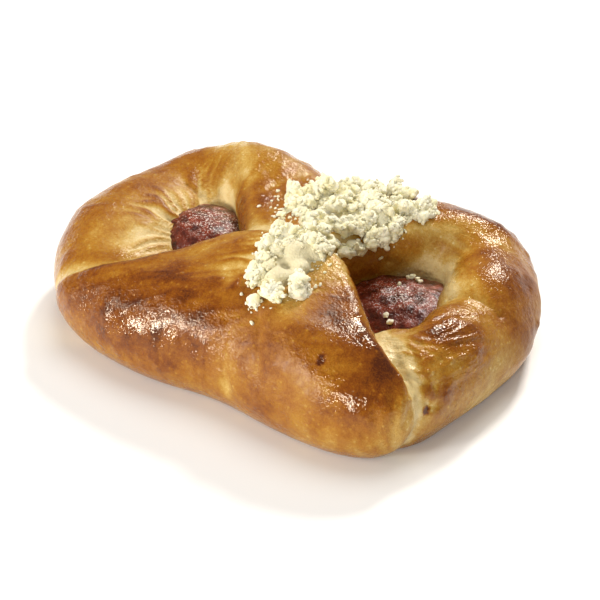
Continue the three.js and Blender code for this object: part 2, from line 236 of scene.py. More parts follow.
def roll(offset, z, middle, radius, rise):
    """A roll of dough, round below its middle and as high as rise above it."""
    height = z - middle
    return np.hypot(offset, np.where(height > 0, height * radius / rise, height)) - radius


def rim(x, y, z, edge):
    """The rim's roll, whose size changes round the pastry."""
    angle = direction(x, y)
    here = dict(RIM)
    for place in RIM_PLACES.values():
        share = near(angle, place["at"], place["spread"])
        for size in ("reach", "rise", "slope", "inset"):
            here[size] = here[size] + share * place.get(size, 0)
    offset = edge + here["reach"] + here["inset"]
    inward = np.where(offset < 0, offset * here["reach"] / here["slope"], offset)
    return roll(inward, z, here["middle"], here["reach"], here["rise"])


def back_flap(x, y, z, edge):
    """A pillow behind the back flap's edge."""
    waist = (y > 0) * BACK_WAIST["drawn_in"] * bump(x, BACK_WAIST["at"], BACK_WAIST["spread"])
    shoulder = bump(x, BACK_SHOULDER["x"], BACK_SHOULDER["spread_x"])
    shoulder = shoulder * bump(y, BACK_SHOULDER["y"], BACK_SHOULDER["spread_y"])
    rise = BACK["rise"] + BACK_SHOULDER["rise"] * shoulder
    pillow = roll(np.maximum(edge + BACK["reach"] + waist, 0), z, BACK["middle"], BACK["reach"], rise)
    return smooth_max(pillow, (back_edge(x) - y) * BACK["steepness"], BACK["roundness"])


def front_flap(x, y, z, edge):
    """A pillow in front of the front flap's edge, whose cut leans."""
    crown = FRONT_CROWN["rise"] * bump(x, FRONT_CROWN["at"], FRONT_CROWN["spread"])
    tip = FRONT_TIP["rise"] * bump(x, FRONT_TIP["x"], FRONT_TIP["spread_x"])
    tip = tip * bump(y, FRONT_TIP["y"], FRONT_TIP["spread_y"])
    groove = FRONT_GROOVE["depth"] * bump(x, FRONT_GROOVE["x"], FRONT_GROOVE["spread_x"])
    groove = groove * bump(y, FRONT_GROOVE["y"], FRONT_GROOVE["spread_y"])
    drawn_out = sum(by * bump(x, at, spread) for at, spread, by in FRONT_DRAWN_OUT)
    offset = np.maximum(edge + FRONT["reach"] - drawn_out, 0)
    pillow = roll(offset, z, FRONT["middle"], FRONT["radius"], FRONT["rise"] + crown + tip - groove)
    past_edge = (y - front_edge(x)) * FRONT_EDGE_FORM["steepness"]
    past_edge = past_edge - (z - FRONT["lean_from"]) * FRONT["lean"]
    return smooth_max(pillow, past_edge, FRONT_EDGE_FORM["roundness"])


def dough(x, y, z):
    """The whole dough: rim, floor and slopes, the back flap and the front flap over it."""
    edge = from_outline(x, y)
    floor = PIT_FLOOR["height"] - PIT_FLOOR["drop"] / (1 + np.exp(-x / PIT_FLOOR["shore"]))
    base = smooth_max(z - floor, edge + PIT_FLOOR["inset"], RIM_BLEND)
    lower = smooth_min(rim(x, y, z, edge), base, RIM_BLEND)
    for centre, radii, blend in DOUGH_SLOPES:
        lower = smooth_min(lower, mound(x, y, z, centre, radii), blend)
    folded = smooth_min(lower, back_flap(x, y, z, edge), BACK["blend"])
    whole = smooth_min(folded, front_flap(x, y, z, edge), FRONT_EDGE_FORM["blend"])
    return smooth_max(whole, -z, FOOT_ROUNDING)


def mound(x, y, z, centre, radii):
    """An egg-shaped mound with its own radius along each axis."""
    scaled = np.sqrt(sum(((v - c) / r) ** 2 for v, c, r in zip((x, y, z), centre, radii)))
    return (scaled - 1) * min(radii)


def jam(x, y, z):
    left = smooth_min(mound(x, y, z, *JAM_LEFT), mound(x, y, z, *JAM_STRIP), JAM_BLEND)
    return smooth_min(left, mound(x, y, z, *JAM_RIGHT), JAM_BLEND)


def in_band(x, y, band):
    """1 in the middle of a band of crumble, 0 at its edge, by the cube of the distance."""
    turn = math.radians(band["turn"])
    dx, dy = x - band["centre"][0], y - band["centre"][1]
    along = (dx * math.cos(turn) + dy * math.sin(turn)) / band["radii"][0]
    across = (dy * math.cos(turn) - dx * math.sin(turn)) / band["radii"][1]
    return 1 - (along * along + across * across) ** 1.5


def crumble_height(x, y, band):
    """How thick one band of the heap is over the crust, mm."""
    wave = math.pi / CRUMBLE_LUMPS["size"]
    lumps = np.sin(wave * x + band["seed"]) * np.sin(wave * y + 1.7 * band["seed"])
    thickness = band["height"] * np.minimum(in_band(x, y, band), CRUMBLE_LEVEL)
    return thickness * (1 + CRUMBLE_LUMPS["height"] * lumps)


def crumble_core(x, y, z):
    """The heap without its crumbs: thinner than the solid, more so low down, and ragged at its edge."""
    flat = np.stack(np.broadcast_arrays(x, y), axis=-1).reshape(-1, 2)
    flat = np.column_stack([flat, np.zeros(len(flat))])
    ragged = layered(flat, RAGGED_EDGE).reshape(np.broadcast(x, y).shape)
    height = np.maximum(crumble_height(x, y, CRUMBLE_BACK), crumble_height(x, y, CRUMBLE_FRONT))
    height = height + ragged - CORE_SUNK - CORE_THINNING * np.maximum(CORE_LOWEST - z, 0)
    above = dough(x, y, z)
    return np.maximum(above - np.maximum(height, CRUMBLE_FARTHEST), -above - CRUMBLE_DEPTH)


def dough_and_core(x, y, z):
    """What the big lumps rest on."""
    return np.minimum(dough(x, y, z), crumble_core(x, y, z))


# ---- From a form to a closed mesh ----

# The surface keeps this share of a cell from every corner of the grid.
LEAST_CLEARANCE = 0.05
# The most rounds of filling pinches.
MOST_ROUNDS = 40


def fill_pinches(value, clearance):
    """Fills the nearest outside corner wherever inside and outside touch only across a diagonal."""
    for _ in range(MOST_ROUNDS):
        inside = value < 0
        found = False
        for u, v in ((0, 1), (1, 2), (2, 0)):
            pick = [slice(None)] * 3

            def shifted(a, b):
                pick[u] = slice(1, None) if a else slice(None, -1)
                pick[v] = slice(1, None) if b else slice(None, -1)
                return tuple(pick)

            c00, c10, c11, c01 = (shifted(*s) for s in ((0, 0), (1, 0), (1, 1), (0, 1)))
            same = (inside[c00] == inside[c11]) & (inside[c10] == inside[c01])
            crossed = same & (inside[c00] != inside[c10])
            if not crossed.any():
                continue
            found = True
            main_out = crossed & ~inside[c00]
            side_out = crossed & inside[c00]
            for mask, first, second in ((main_out, c00, c11), (side_out, c10, c01)):
                nearer = value[first] < value[second]
                value[first][mask & nearer] = -clearance
                value[second][mask & ~nearer] = -clearance
        if not found:
            return


def skin(form, low, high, cell):
    """Points and four-sided faces of the closed surface where the form is 0."""
    axes = [np.arange(a, b + cell, cell) for a, b in zip(low, high)]
    value = form(axes[0][:, None, None], axes[1][None, :, None], axes[2][None, None, :])
    clearance = LEAST_CLEARANCE * cell
    value = np.where(value < 0, np.minimum(value, -clearance), np.maximum(value, clearance))
    fill_pinches(value, clearance)
    cells = tuple(n - 1 for n in value.shape)
    total, crossings = np.zeros(cells + (3,)), np.zeros(cells)
    edges = []
    for axis in range(3):
        u, v = (axis + 1) % 3, (axis + 2) % 3
        start = np.moveaxis(value, (axis, u, v), (0, 1, 2))
        first, second = start[:-1], start[1:]
        crossed = (first < 0) != (second < 0)
        share = np.where(crossed, first / np.where(crossed, first - second, 1), 0)
        edges.append((crossed, first < 0))
        local_total = np.moveaxis(total, (axis, u, v), (0, 1, 2))
        local_count = np.moveaxis(crossings, (axis, u, v), (0, 1, 2))
        for du in (0, 1):
            for dv in (0, 1):
                part = (slice(None), slice(du, du + cells[u]), slice(dv, dv + cells[v]))
                hit = crossed[part]
                local_total[..., axis] += np.where(hit, share[part], 0)
                local_total[..., u] += hit * du
                local_total[..., v] += hit * dv
                local_count += hit
    used = crossings > 0
    number = np.full(cells, -1)
    number[used] = np.arange(used.sum())
    points = np.argwhere(used) + total[used] / crossings[used][:, None]
    points = points * cell + np.array([a[0] for a in axes])
    faces = []
    for axis in range(3):
        u, v = (axis + 1) % 3, (axis + 2) % 3
        ids = np.moveaxis(number, (axis, u, v), (0, 1, 2))
        crossed, leaving = (e[:, 1:-1, 1:-1] for e in edges[axis])
        quads = np.stack(
            [ids[:, :-1, :-1], ids[:, 1:, :-1], ids[:, 1:, 1:], ids[:, :-1, 1:]], axis=-1)
        faces.append(quads[crossed & leaving])
        faces.append(quads[crossed & ~leaving][:, ::-1])
    return points, np.concatenate(faces)


def slope_of(form, points, step=0.15):
    """The form's outward unit direction and steepness at points (n, 3)."""
    def value(offset):
        return form(*(points + offset).T)

    steps = np.eye(3) * step
    slope = np.stack([value(s) - value(-s) for s in steps], axis=1) / (2 * step)
    steepness = np.linalg.norm(slope, axis=1, keepdims=True) + 1e-9
    return slope / steepness, steepness[:, 0]


def settle(form, points, cell, rounds=2):
    """Moves points onto the surface where the form is 0, by less than half a cell."""
    for _ in range(rounds):
        outward, steepness = slope_of(form, points)
        move = np.clip(form(*points.T) / steepness, -cell / 2, cell / 2)
        points = points - outward * move[:, None]
    return points


def new_mesh(name, points, faces, shades=()):
    """A smooth mesh object from points in mm, with one float attribute for each entry of shades."""
    mesh = bpy.data.meshes.new(name)
    placed = (np.asarray(points) - MIDDLE) * MM
    mesh.from_pydata(placed.tolist(), [], np.asarray(faces).tolist())
    for label, values in dict(shades).items():
        attribute = mesh.attributes.new(label, "FLOAT", "POINT")
        attribute.data.foreach_set("value", values.astype(np.float32))
    mesh.polygons.foreach_set("use_smooth", np.ones(len(mesh.polygons), bool))
    mesh.update()
    return linked(name, mesh)


def linked(name, data):
    """A new object for a mesh, lamp or camera, in the scene."""
    holder = bpy.data.objects.new(name, data)
    bpy.context.scene.collection.objects.link(holder)
    return holder


def room_round(box, spare):
    """Corners of a CAD node's box with room to spare, in mm and the pastry's own frame."""
    low, high = box
    return np.array(low) / MM + MIDDLE - spare, np.array(high) / MM + MIDDLE + spare


# ---- Relief of the crust ----

LEFT_PIT = (-29, 4)
RIGHT_PIT = (34, 4)
TIP = (12, -14)
# Spokes are drawn on a ring of this radius: the larger it is, the more of them there are.
SPOKE_RING = 14
# How spokes and grain waver: by an angle or in mm, and over what size.
SPOKE_WAVER = {"turn": 0.25, "size": 9}
GRAIN_WAVER = {"by": 0.8, "size": 5}


def spot(points, centre, radius):
    """1 at a place on the pastry, falling to 0 about a radius away."""
    away = (points - np.array(centre)) / np.array(radius)
    return np.exp(-(away ** 2).sum(axis=1))


def spokes(points, hub, size, length, seed):
    """Ridges that run out from a hub seen from above, from -1 to 1."""
    dx, dy = points[:, 0] - hub[0], points[:, 1] - hub[1]
    reach = np.hypot(dx, dy)
    turn = np.arctan2(dy, dx) + SPOKE_WAVER["turn"] * noise(points, SPOKE_WAVER["size"], seed + 5)
    ring = np.stack([np.cos(turn), np.sin(turn), reach * size / length / SPOKE_RING], axis=1) * SPOKE_RING
    return 1 - 2 * np.abs(noise(ring, size, seed))


def grain_along(points, heading, size, length, seed):
    """Ridges that run along a heading in degrees, from -1 to 1."""
    a = math.radians(heading)
    along = points[:, 0] * math.cos(a) + points[:, 1] * math.sin(a)
    across = points[:, 1] * math.cos(a) - points[:, 0] * math.sin(a)
    across = across + GRAIN_WAVER["by"] * noise(points, GRAIN_WAVER["size"], seed + 3)
    local = np.stack([along * size / length, across, points[:, 2] * 0.5], axis=1)
    return 1 - 2 * np.abs(noise(local, size, seed))


# Thin creases as runs of places, with their width and depth.
CREASES = [
    ("between the left rim and the back flap", [(-41, 14, 27), (-36, 13, 25), (-31, 12, 24)], 0.9, 1.3),
    ("across the right rim", [(47, 5, 23), (54, 6, 25), (61, 6, 22)], 1.0, 0.8),
    ("between the front folds", [(13, -36, 30), (15, -40, 27), (17, -43, 23), (18, -45, 17)], 1.3, 0.6),
    ("beside the groove", [(5, -41, 24), (6, -43, 17), (8, -44, 10)], 1.5, 0.5),
    ("under the flap's right edge", [(46, -24, 24), (53, -33, 22), (58, -39, 12)], 1.1, 0.9),
    ("on the front right corner", [(58, -26, 19), (59, -31, 13), (57, -36, 8)], 1.0, 0.5),
]
# Fine strokes across the knuckle: heading in degrees, length over width, width in mm, and depth.
KNUCKLE_STROKES = {"heading": 64, "stretch": 6, "size": 1.3, "depth": 2.2}
# Baked spots: place, radius, height.
BLOTS = [
    ("dark spot on the front flap", (34, -41, 27), 1.7, -0.35),
    ("jam spot on the corner", (59, -30.5, 14), 1.6, 0.5),
    ("bump behind the right rim", (55, 38, 22), 1.6, 1.2),
    ("bump on the right end", (66, 20, 13), 1.5, 1.0),
]
# Low waves of the whole crust: size, height, seed.
CRUST_WAVES = [(9, 0.35, 7), (4, 0.20, 8), (2, 0.08, 9)]
STREAK_HEIGHT = 0.13
# Waves, streaks and blisters fade in between these heights.
WAVES_FROM = (3, 10)
# All relief fades in above the flat underside, between these heights.
FOOT = (0.0, 1.5)
# Blisters: radius, height as a share of it, how many radii one reaches, and the lowest place for one.
BLISTER = {"radius": (0.7, 1.5), "height": 0.16, "reach": 2.5, "lowest": 12}
# Wrinkles of the baked skin. A kind fades in from the first to the second of each pair, along x, z or a
# distance. Its ridges run out from a hub or along a heading in degrees, with a width, a length, a height
# and how far they are sunk, as a share of the height.
RIM_WRINKLES = {
    "x": (-26, -34), "from_hub": (27, 15), "z": (18, 23),
    "hub": LEFT_PIT, "width": 2.0, "length": 13, "height": 0.70, "sunk": 0.4, "seed": 1}
KNUCKLE_WRINKLES = {"heading": 64, "width": 1.8, "length": 9, "height": 0.55, "sunk": 0.5, "seed": 2}
TIP_WRINKLES = {
    "from_hub": (26, 17), "x": (8, 0), "z": (28, 32),
    "hub": TIP, "width": 2.2, "length": 12, "height": 0.42, "sunk": 0, "seed": 3}
CORNER_WRINKLES = {
    "at": -40, "spread": 12, "rising": (7, 15), "falling": (27, 22),
    "heading": 118, "width": 2.2, "length": 9, "height": 0.45, "sunk": 0, "seed": 4}
NOTCH_WRINKLES = {
    "places": [((50, -25, 23), 7), ((57, -31, 17), 6)], "past_edge": (-1.5, 1.5),
    "heading": 6, "width": 1.7, "length": 8, "height": 1.0, "sunk": 0.5, "seed": 6}
# The knuckle: its direction and spread in degrees, and the heights between which it fades in.
KNUCKLE = {"at": -18, "spread": 15, "z": (12, 20)}


def along_run(points, run):
    """Distance of each point from a run of straight stretches."""
    best = np.full(len(points), 1e9)
    for a, b in zip(run[:-1], run[1:]):
        a, b = np.array(a, float), np.array(b, float)
        share = np.clip((points - a) @ (b - a) / ((b - a) @ (b - a)), 0, 1)
        best = np.minimum(best, np.linalg.norm(points - a - share[:, None] * (b - a), axis=1))
    return best


# Distances at which the crust looks for dough in front of it.
SHELTER_REACHES = (2.5, 6, 12)


def shelter(points, outward):
    """0 on open crust, rising to 1 deep in a fold or a pit."""
    hidden = np.zeros(len(points))
    for reach in SHELTER_REACHES:
        clear = dough(*(points + outward * reach).T)
        hidden += np.clip(1 - clear / reach, 0, 1) / len(SHELTER_REACHES)
    return hidden


def streaks(points):
    """Streaks along the way the dough was pulled, from about -1 to 1."""
    x, y, z = points.T
    round_left = spokes(points, LEFT_PIT, size=2.6, length=14, seed=51)
    reach = np.hypot(x - RIGHT_PIT[0], (y - RIGHT_PIT[1]) * 1.15)
    turn = np.arctan2(y - RIGHT_PIT[1], x - RIGHT_PIT[0])
    ring = np.stack([reach + 0.6 * z, 5 * np.cos(turn), 5 * np.sin(turn)], axis=1)
    bent = ring + 0.5 * noise(points, size=6, seed=52)[:, None]
    round_right = 1 - 2 * np.abs(noise(bent, size=2.4, seed=53))
    towards_tip = grain_along(points, heading=24, size=2.6, length=12, seed=54)
    down = np.stack([x, 0.3 * y, 0.25 * z], axis=1)
    bent = down + 0.6 * noise(points, size=6, seed=55)[:, None]
    down_the_side = 1 - 2 * np.abs(noise(bent, size=2.8, seed=56))
    on_front = ease(y - front_edge(x), 1, -2)
    low = ease(z, 25, 17)
    front = towards_tip * (1 - low) + down_the_side * low
    left = ease(x, -14, -22)
    rest = round_left * left + round_right * (1 - left)
    return front * on_front + rest * (1 - on_front)


def on_knuckle(x, y, z):
    return near(direction(x, y), KNUCKLE["at"], KNUCKLE["spread"]) * ease(z, *KNUCKLE["z"])


def ridges(points, kind):
    """The ridges of one kind of wrinkle, from -1 to 1."""
    if "hub" in kind:
        return spokes(points, kind["hub"], kind["width"], kind["length"], kind["seed"])
    return grain_along(points, kind["heading"], kind["width"], kind["length"], kind["seed"])


def wrinkles(points):
    """Wrinkles of the baked skin in mm, and from 0 to 1 where they darken it."""
    x, y, z = points.T
    kind = RIM_WRINKLES
    from_left_pit = np.hypot(x - LEFT_PIT[0], (y - LEFT_PIT[1]) * 0.9)
    on_left_rim = ease(x, *kind["x"]) * ease(from_left_pit, *kind["from_hub"]) * ease(z, *kind["z"])
    kind = TIP_WRINKLES
    from_tip = np.hypot(x - TIP[0], y - TIP[1])
    on_tip = ease(from_tip, *kind["from_hub"]) * ease(x, *kind["x"]) * ease(z, *kind["z"])
    kind = CORNER_WRINKLES
    on_corner = near(direction(x, y), kind["at"], kind["spread"])
    on_corner = on_corner * ease(z, *kind["rising"]) * ease(z, *kind["falling"])
    kind = NOTCH_WRINKLES
    in_notch = np.clip(sum(spot(points, place, radius) for place, radius in kind["places"]), 0, 1)
    in_notch = in_notch * ease(y - front_edge(x), *kind["past_edge"])
    kinds = [
        (RIM_WRINKLES, on_left_rim), (KNUCKLE_WRINKLES, on_knuckle(x, y, z)), (TIP_WRINKLES, on_tip),
        (CORNER_WRINKLES, on_corner), (NOTCH_WRINKLES, in_notch),
    ]
    rise = sum(kind["height"] * where * (ridges(points, kind) - kind["sunk"]) for kind, where in kinds)
    return rise, np.maximum(np.maximum(on_left_rim, on_tip), in_notch)


def blisters(points, settings):
    """Small domes raised by the heat, mm."""
    draw = np.random.default_rng(settings.seed)
    upper = points[points[:, 2] > BLISTER["lowest"]]
    rise = np.zeros(len(points))
    for centre in upper[draw.integers(0, len(upper), settings.blisters)]:
        radius = draw.uniform(*BLISTER["radius"])
        close = np.abs(points - centre).max(axis=1) < BLISTER["reach"] * radius
        rise[close] += BLISTER["height"] * radius * spot(points[close], centre, radius)
    return rise


def crust_relief(points, settings):
    """How far each point of the crust stands out of the plain form, mm."""
    z = points[:, 2]
    rise, _ = wrinkles(points)
    top = ease(z, *WAVES_FROM)
    rise += top * layered(points, CRUST_WAVES)
    rise += top * STREAK_HEIGHT * streaks(points)
    rise += top * blisters(points, settings)
    for _, run, width, depth in CREASES:
        rise -= depth * np.exp(-((along_run(points, run) / width) ** 2))
    for _, place, radius, height in BLOTS:
        rise += height * spot(points, place, radius)
    return rise * ease(z, *FOOT)


# ---- Browning of the crust ----

# How much browner (or, below 0, paler) a place is baked: place, radius, amount. The two right pit entries for
# its back wall and ledge are paler partly as pale dough and partly as a painted highlight.
BROWNING_AND_PIT_HIGHLIGHT = [
    ("left end of the front flap", (-37, -38, 21), 10, 0.14),
    ("front flap, upper left", (-24, -35, 27), 10, 0.14),
    ("front flap, left of the crumble", (-6, -35, 29), 10, 0.24),
    ("left lobe beside the groove", (-1, -43, 19), 4, 0.14),
    ("middle lobe, above", (16, -42, 24), 4, 0.10),
    ("front flap, lower left", (-20, -44, 13), 14, 0.09),
    ("groove between the lobes, above", (6, -42, 20), (3.8, 6, 6), -0.15),
    ("groove between the lobes, below", (8, -44, 13), (4.5, 6, 8), -0.18),
    ("front flap, under the crumble", (18, -30, 33), 5, -0.36),
    ("front flap, right under the crumble", (22, -30, 33), 10, 0.16),
    ("front flap, below the crumble", (16, -40, 28), 4, 0.16),
    ("front flap, middle", (26, -45, 19), 9, 0.08),
    ("front flap, right of the crumble", (29, -22, 33), 5, 0.26),
    ("front flap, along its right edge", (37, -29, 30), 7, 0.26),
    ("front flap, right of its tip", (28, -26, 33), 5, 0.22),
    ("front flap, lip of its right edge", (31, -18, 33), 4, 0.22),
    ("front flap, left half", (-18, -42, 19), 12, 0.08),
    ("front flap, shoulder of the right edge", (48, -35, 26), 6.5, 0.50),
    ("front flap, right bulge", (43, -45, 20), 8, 0.12),
    ("notch beside the flap", (46, -21, 24), 7, -0.38),
    ("notch, towards the jam", (39, -13, 18), 5, -0.26),
    ("seam below the notch", (53, -28, 21), 6, -0.42),
    ("seam, foot", (55, -34, 14), 5, -0.26),
    ("knuckle, side towards the notch", (52, -16, 27), 4.5, 0.40),
    ("knuckle, foot", (61, -25, 17), 5, 0.16),
    ("end of the right pit", (46, 5, 21), 6, -0.30),
    ("knuckle, top", (56, -12, 27), 7, 0.14),
    ("right side, low", (65, -12, 10), 8, -0.20),
    ("front right corner", (57, -35, 14), 8, -0.14),
    ("right rim, back", (45, 31, 29), 10, 0.20),
    ("right rim, end", (60, 20, 25), 8, 0.16),
    # These two are paler partly as pale dough and partly as a painted highlight on the pit's wall and ledge.
    ("right pit, foot of its back wall", (38, 17, 20.5), (10, 6, 3.4), -0.75),
    ("right pit, ledge at its end", (47, 10, 23.5), (7, 6, 3.4), -0.45),
    ("right pit, top of its back wall", (30, 22, 26.5), (9, 7, 3.2), 0.04),
    ("right rim, crease", (49, 8, 26), 5, -0.10),
    ("back flap, left hump", (-19, 19, 32), 8, 0.10),
    ("back flap, towards the front flap", (-13, 5, 30), 7, 0.12),
    ("valley beside the back flap", (-34, 19, 25), 7, -0.34),
    ("back flap, below the crumble", (18, 8, 25), 8, -0.10),
    ("left rim, top", (-51, 2, 28), 11, 0.03),
    ("left rim, front", (-47, -24, 25), 8, -0.12),
    ("left rim, towards the jam", (-38, -4, 23), 8, -0.46),
    ("left rim, front end of its slope", (-39, -16, 23), 7, -0.42),
    ("left rim, back end of its slope", (-39, 10, 26), 7, -0.42),
]
# The tone of plain crust.
CRUST_TONE = 0.51
# How much browner the crust's top is and how much paler its foot, and the heights between which that grows.
TOP_TONE = {"browner": 0.04, "z": (8, 26)}
FOOT_TONE = {"paler": 0.06, "z": (12, 3)}
# Dough that lies in a fold or a pit is paler, and the more so between these two depths of shelter.
SHELTERED = {"paler": 0.75, "depth": (0.16, 0.55)}
# The front flap's lip: how much browner, its place and width beside the edge, and where it fades in.
LIP = {"browner": 0.30, "at": -2.0, "spread": 2.2, "z": (21, 25), "x": (-60, -45)}
# The lip is no browner where the crumble covers it.
LIP_COVERED = {"at": 12, "spread": 12}
# Patches of tone: size, how much browner, seed.
TONE_PATCHES = [(13, 0.12, 21), (5, 0.10, 22)]
# How much browner the crust is for each mm that it stands out, up to a limit in mm: on wrinkles, and on
# all other relief.
WRINKLED = {"browner": 0.85, "limit": 0.5}
RAISED = {"browner": 0.10, "limit": 0.6}
STREAKS_BROWNER = 0.09
# Small dark spots: place, radius, tone, and the share of the spot where its edge starts and ends.
DARK_SPOTS = [
    ("baked spot on the front flap", (34, -41, 27), (1.3, 1.6, 2.0), 0.98, (0.3, 0.55)),
    ("jam spot on the corner", (59, -30.5, 14), 1.4, 0.92, (0.35, 0.55)),
]
# The tone of the flat underside, and the heights between which it begins.
UNDERSIDE_TONE = 0.72
UNDERSIDE = (1.2, 0.2)


def baked_tone_and_highlight(points, outward, relief):
    """How brown the crust is, with a painted highlight in the right pit: 0 is pale dough, 0.5 golden and 1
    dark caramel.
    """
    x, y, z = points.T
    hidden = shelter(points, outward)
    tone = CRUST_TONE + TOP_TONE["browner"] * ease(z, *TOP_TONE["z"])
    tone -= FOOT_TONE["paler"] * ease(z, *FOOT_TONE["z"])
    tone -= SHELTERED["paler"] * ease(hidden, *SHELTERED["depth"])
    lip = bump(y - front_edge(x), LIP["at"], LIP["spread"]) * ease(z, *LIP["z"])
    covered = bump(x, LIP_COVERED["at"], LIP_COVERED["spread"])
    tone += LIP["browner"] * lip * ease(x, *LIP["x"]) * (1 - covered)
    # Browning and paleness, with a painted highlight in the right pit.
    for _, place, radius, amount in BROWNING_AND_PIT_HIGHLIGHT:
        tone += amount * spot(points, place, radius)
    tone += layered(points, TONE_PATCHES)
    wrinkle, where = wrinkles(points)
    tone += WRINKLED["browner"] * np.clip(wrinkle, -WRINKLED["limit"], WRINKLED["limit"]) * where
    tone += STREAKS_BROWNER * streaks(points)
    tone += RAISED["browner"] * np.clip(relief - wrinkle, -RAISED["limit"], RAISED["limit"])
    for _, place, radius, dark, edge in DARK_SPOTS:
        tone = np.maximum(tone, dark * ease(spot(points, place, radius), *edge))
    underside = ease(z, *UNDERSIDE)
    return np.clip(tone * (1 - underside) + UNDERSIDE_TONE * underside, 0, 1)


# Where the glaze shines less, or below 0 more, than elsewhere: place, radius, amount.
GLAZE = [
    ((24, -28, 33), 9, 1.0), ((14, -36, 30), 8, 0.9), ((-34, 16, 26), 7, 1.0), ((44, -20, 23), 6, 1.0),
    ((36, 20, 22), 8, 1.0), ((-49, 8, 28), 9, 1.0), ((-42, -7, 25), 9, 1.0), ((-46, -16, 26), 7, 1.0),
    ((-28, -41, 21), 8, -0.25), ((-16, -42, 20), 8, -0.3), ((-6, -43, 20), 6, -0.25),
    ((45, -44, 20), 8, -0.45), ((38, -24, 30), 5, -0.4), ((47, -32, 27), 5, -0.4),
    ((55, -11, 27), 6, -0.15), ((46, 30, 29), 8, -0.1), ((19, -43, 24), 8, 0.9), ((30, -46, 18), 7, 0.8),
    ((65, 8, 18), 10, 0.8), ((62, 25, 19), 9, 0.8), ((66, -6, 14), 9, 0.7),
]
# The least that GLAZE may come to.
SHINIEST = -0.4
# Where the jam has whitish specks, partly frosted sugary grain and partly painted highlight: place, radius,
# amount.
FROST_AND_GLINT = [((-26, 5, 25), (8, 6, 6), 1.6), ((33, 5, 20), (7.5, 5.5, 5), 1.0)]


def spots(points, rows):
    """Several spots together: each row is a place, a radius and an amount."""
    return sum(amount * spot(points, place, radius) for place, radius, amount in rows)


def dulled(points):
    """1 where the glaze is dull, 0 where it is plain and below 0 where it shines most."""
    return np.clip(spots(points, GLAZE), SHINIEST, 1)


# ---- Materials ----

class Wire:
    """A socket of a material's node tree, on which Python's arithmetic adds Math nodes."""

    def __init__(self, tree, socket):
        self.tree = tree
        self.socket = socket

    def node(self, kind, values=(), output=0, stops=None, **settings):
        """A new node: its settings first, then what its sockets hold or are linked to."""
        made = self.tree.nodes.new(kind)
        for name, value in settings.items():
            setattr(made, name, value)
        if stops:
            ramp = made.color_ramp.elements
            for _ in range(len(stops) - len(ramp)):
                ramp.new(1)
            for stop, (place, colour) in zip(ramp, stops):
                stop.position = place
                stop.color = (*colour, 1)
        for name, value in dict(values).items():
            if isinstance(value, Wire):
                self.tree.links.new(value.socket, made.inputs[name])
            else:
                made.inputs[name].default_value = value
        return Wire(self.tree, made.outputs[output])

    def _math(self, operation, a, b=0.0, clamp=False):
        return self.node("ShaderNodeMath", {0: a, 1: b}, operation=operation, use_clamp=clamp)

    def __add__(self, other):
        return self._math("ADD", self, other)

    def __sub__(self, other):
        return self._math("SUBTRACT", self, other)

    def __rsub__(self, other):
        return self._math("SUBTRACT", other, self)

    def __mul__(self, other):
        return self._math("MULTIPLY", self, other)

    __radd__ = __add__
    __rmul__ = __mul__

    def clamped(self):
        return self._math("ADD", self, 0.0, clamp=True)

    def between(self, start, end):
        """0 at start, 1 at end, and smooth between them."""
        values = {"Value": self, "From Min": start, "From Max": end}
        return self.node("ShaderNodeMapRange", values, interpolation_type="SMOOTHSTEP")

    def mixed(self, a, b):
        """The colour between a and b at this share."""
        mix = self.tree.nodes.new("ShaderNodeMix")
        mix.data_type = "RGBA"
        colours = [s for s in mix.inputs if s.type == "RGBA"]
        self.tree.links.new(self.socket, mix.inputs["Factor"])
        for socket, colour in zip(colours, (a, b)):
            if isinstance(colour, Wire):
                self.tree.links.new(colour.socket, socket)
            else:
                socket.default_value = (*colour, 1)
        return Wire(self.tree, next(s for s in mix.outputs if s.type == "RGBA"))


def new_material(name):
    """A material with one glossy shader, and a wire that starts its nodes."""
    material = bpy.data.materials.new(name)
    material.use_nodes = True
    tree = material.node_tree
    shader = tree.nodes["Principled BSDF"]
    coordinates = tree.nodes.new("ShaderNodeTexCoord")
    return material, shader, Wire(tree, coordinates.outputs["Object"])


def noise_wire(place, size, detail=2.0, roughness=0.5):
    """Noise from 0 to 1 in the material, with features of the given size in mm."""
    values = {"Vector": place, "Scale": 1 / (size * MM), "Detail": detail, "Roughness": roughness}
    return place.node("ShaderNodeTexNoise", values)


def cells_wire(place, size):
    """Distance from the nearest of scattered points, in cells of the given size in mm."""
    values = {"Vector": place, "Scale": 1 / (size * MM), "Randomness": 1.0}
    return place.node("ShaderNodeTexVoronoi", values)


def attribute_wire(place, name):
    """One of the mesh's own float attributes."""
    return place.node("ShaderNodeAttribute", output="Fac", attribute_name=name)


def dents_wire(place, height, depth):
    """A normal dented by a height, which is multiplied by a depth in mm."""
    return place.node("ShaderNodeBump", {"Strength": 1.0, "Distance": depth * MM, "Height": height})


def set_sockets(shader, values):
    """Links the shader's sockets to wires, and sets those that hold the same value all over."""
    for name, value in values.items():
        if isinstance(value, Wire):
            value.tree.links.new(value.socket, shader.inputs[name])
        else:
            shader.inputs[name].default_value = value


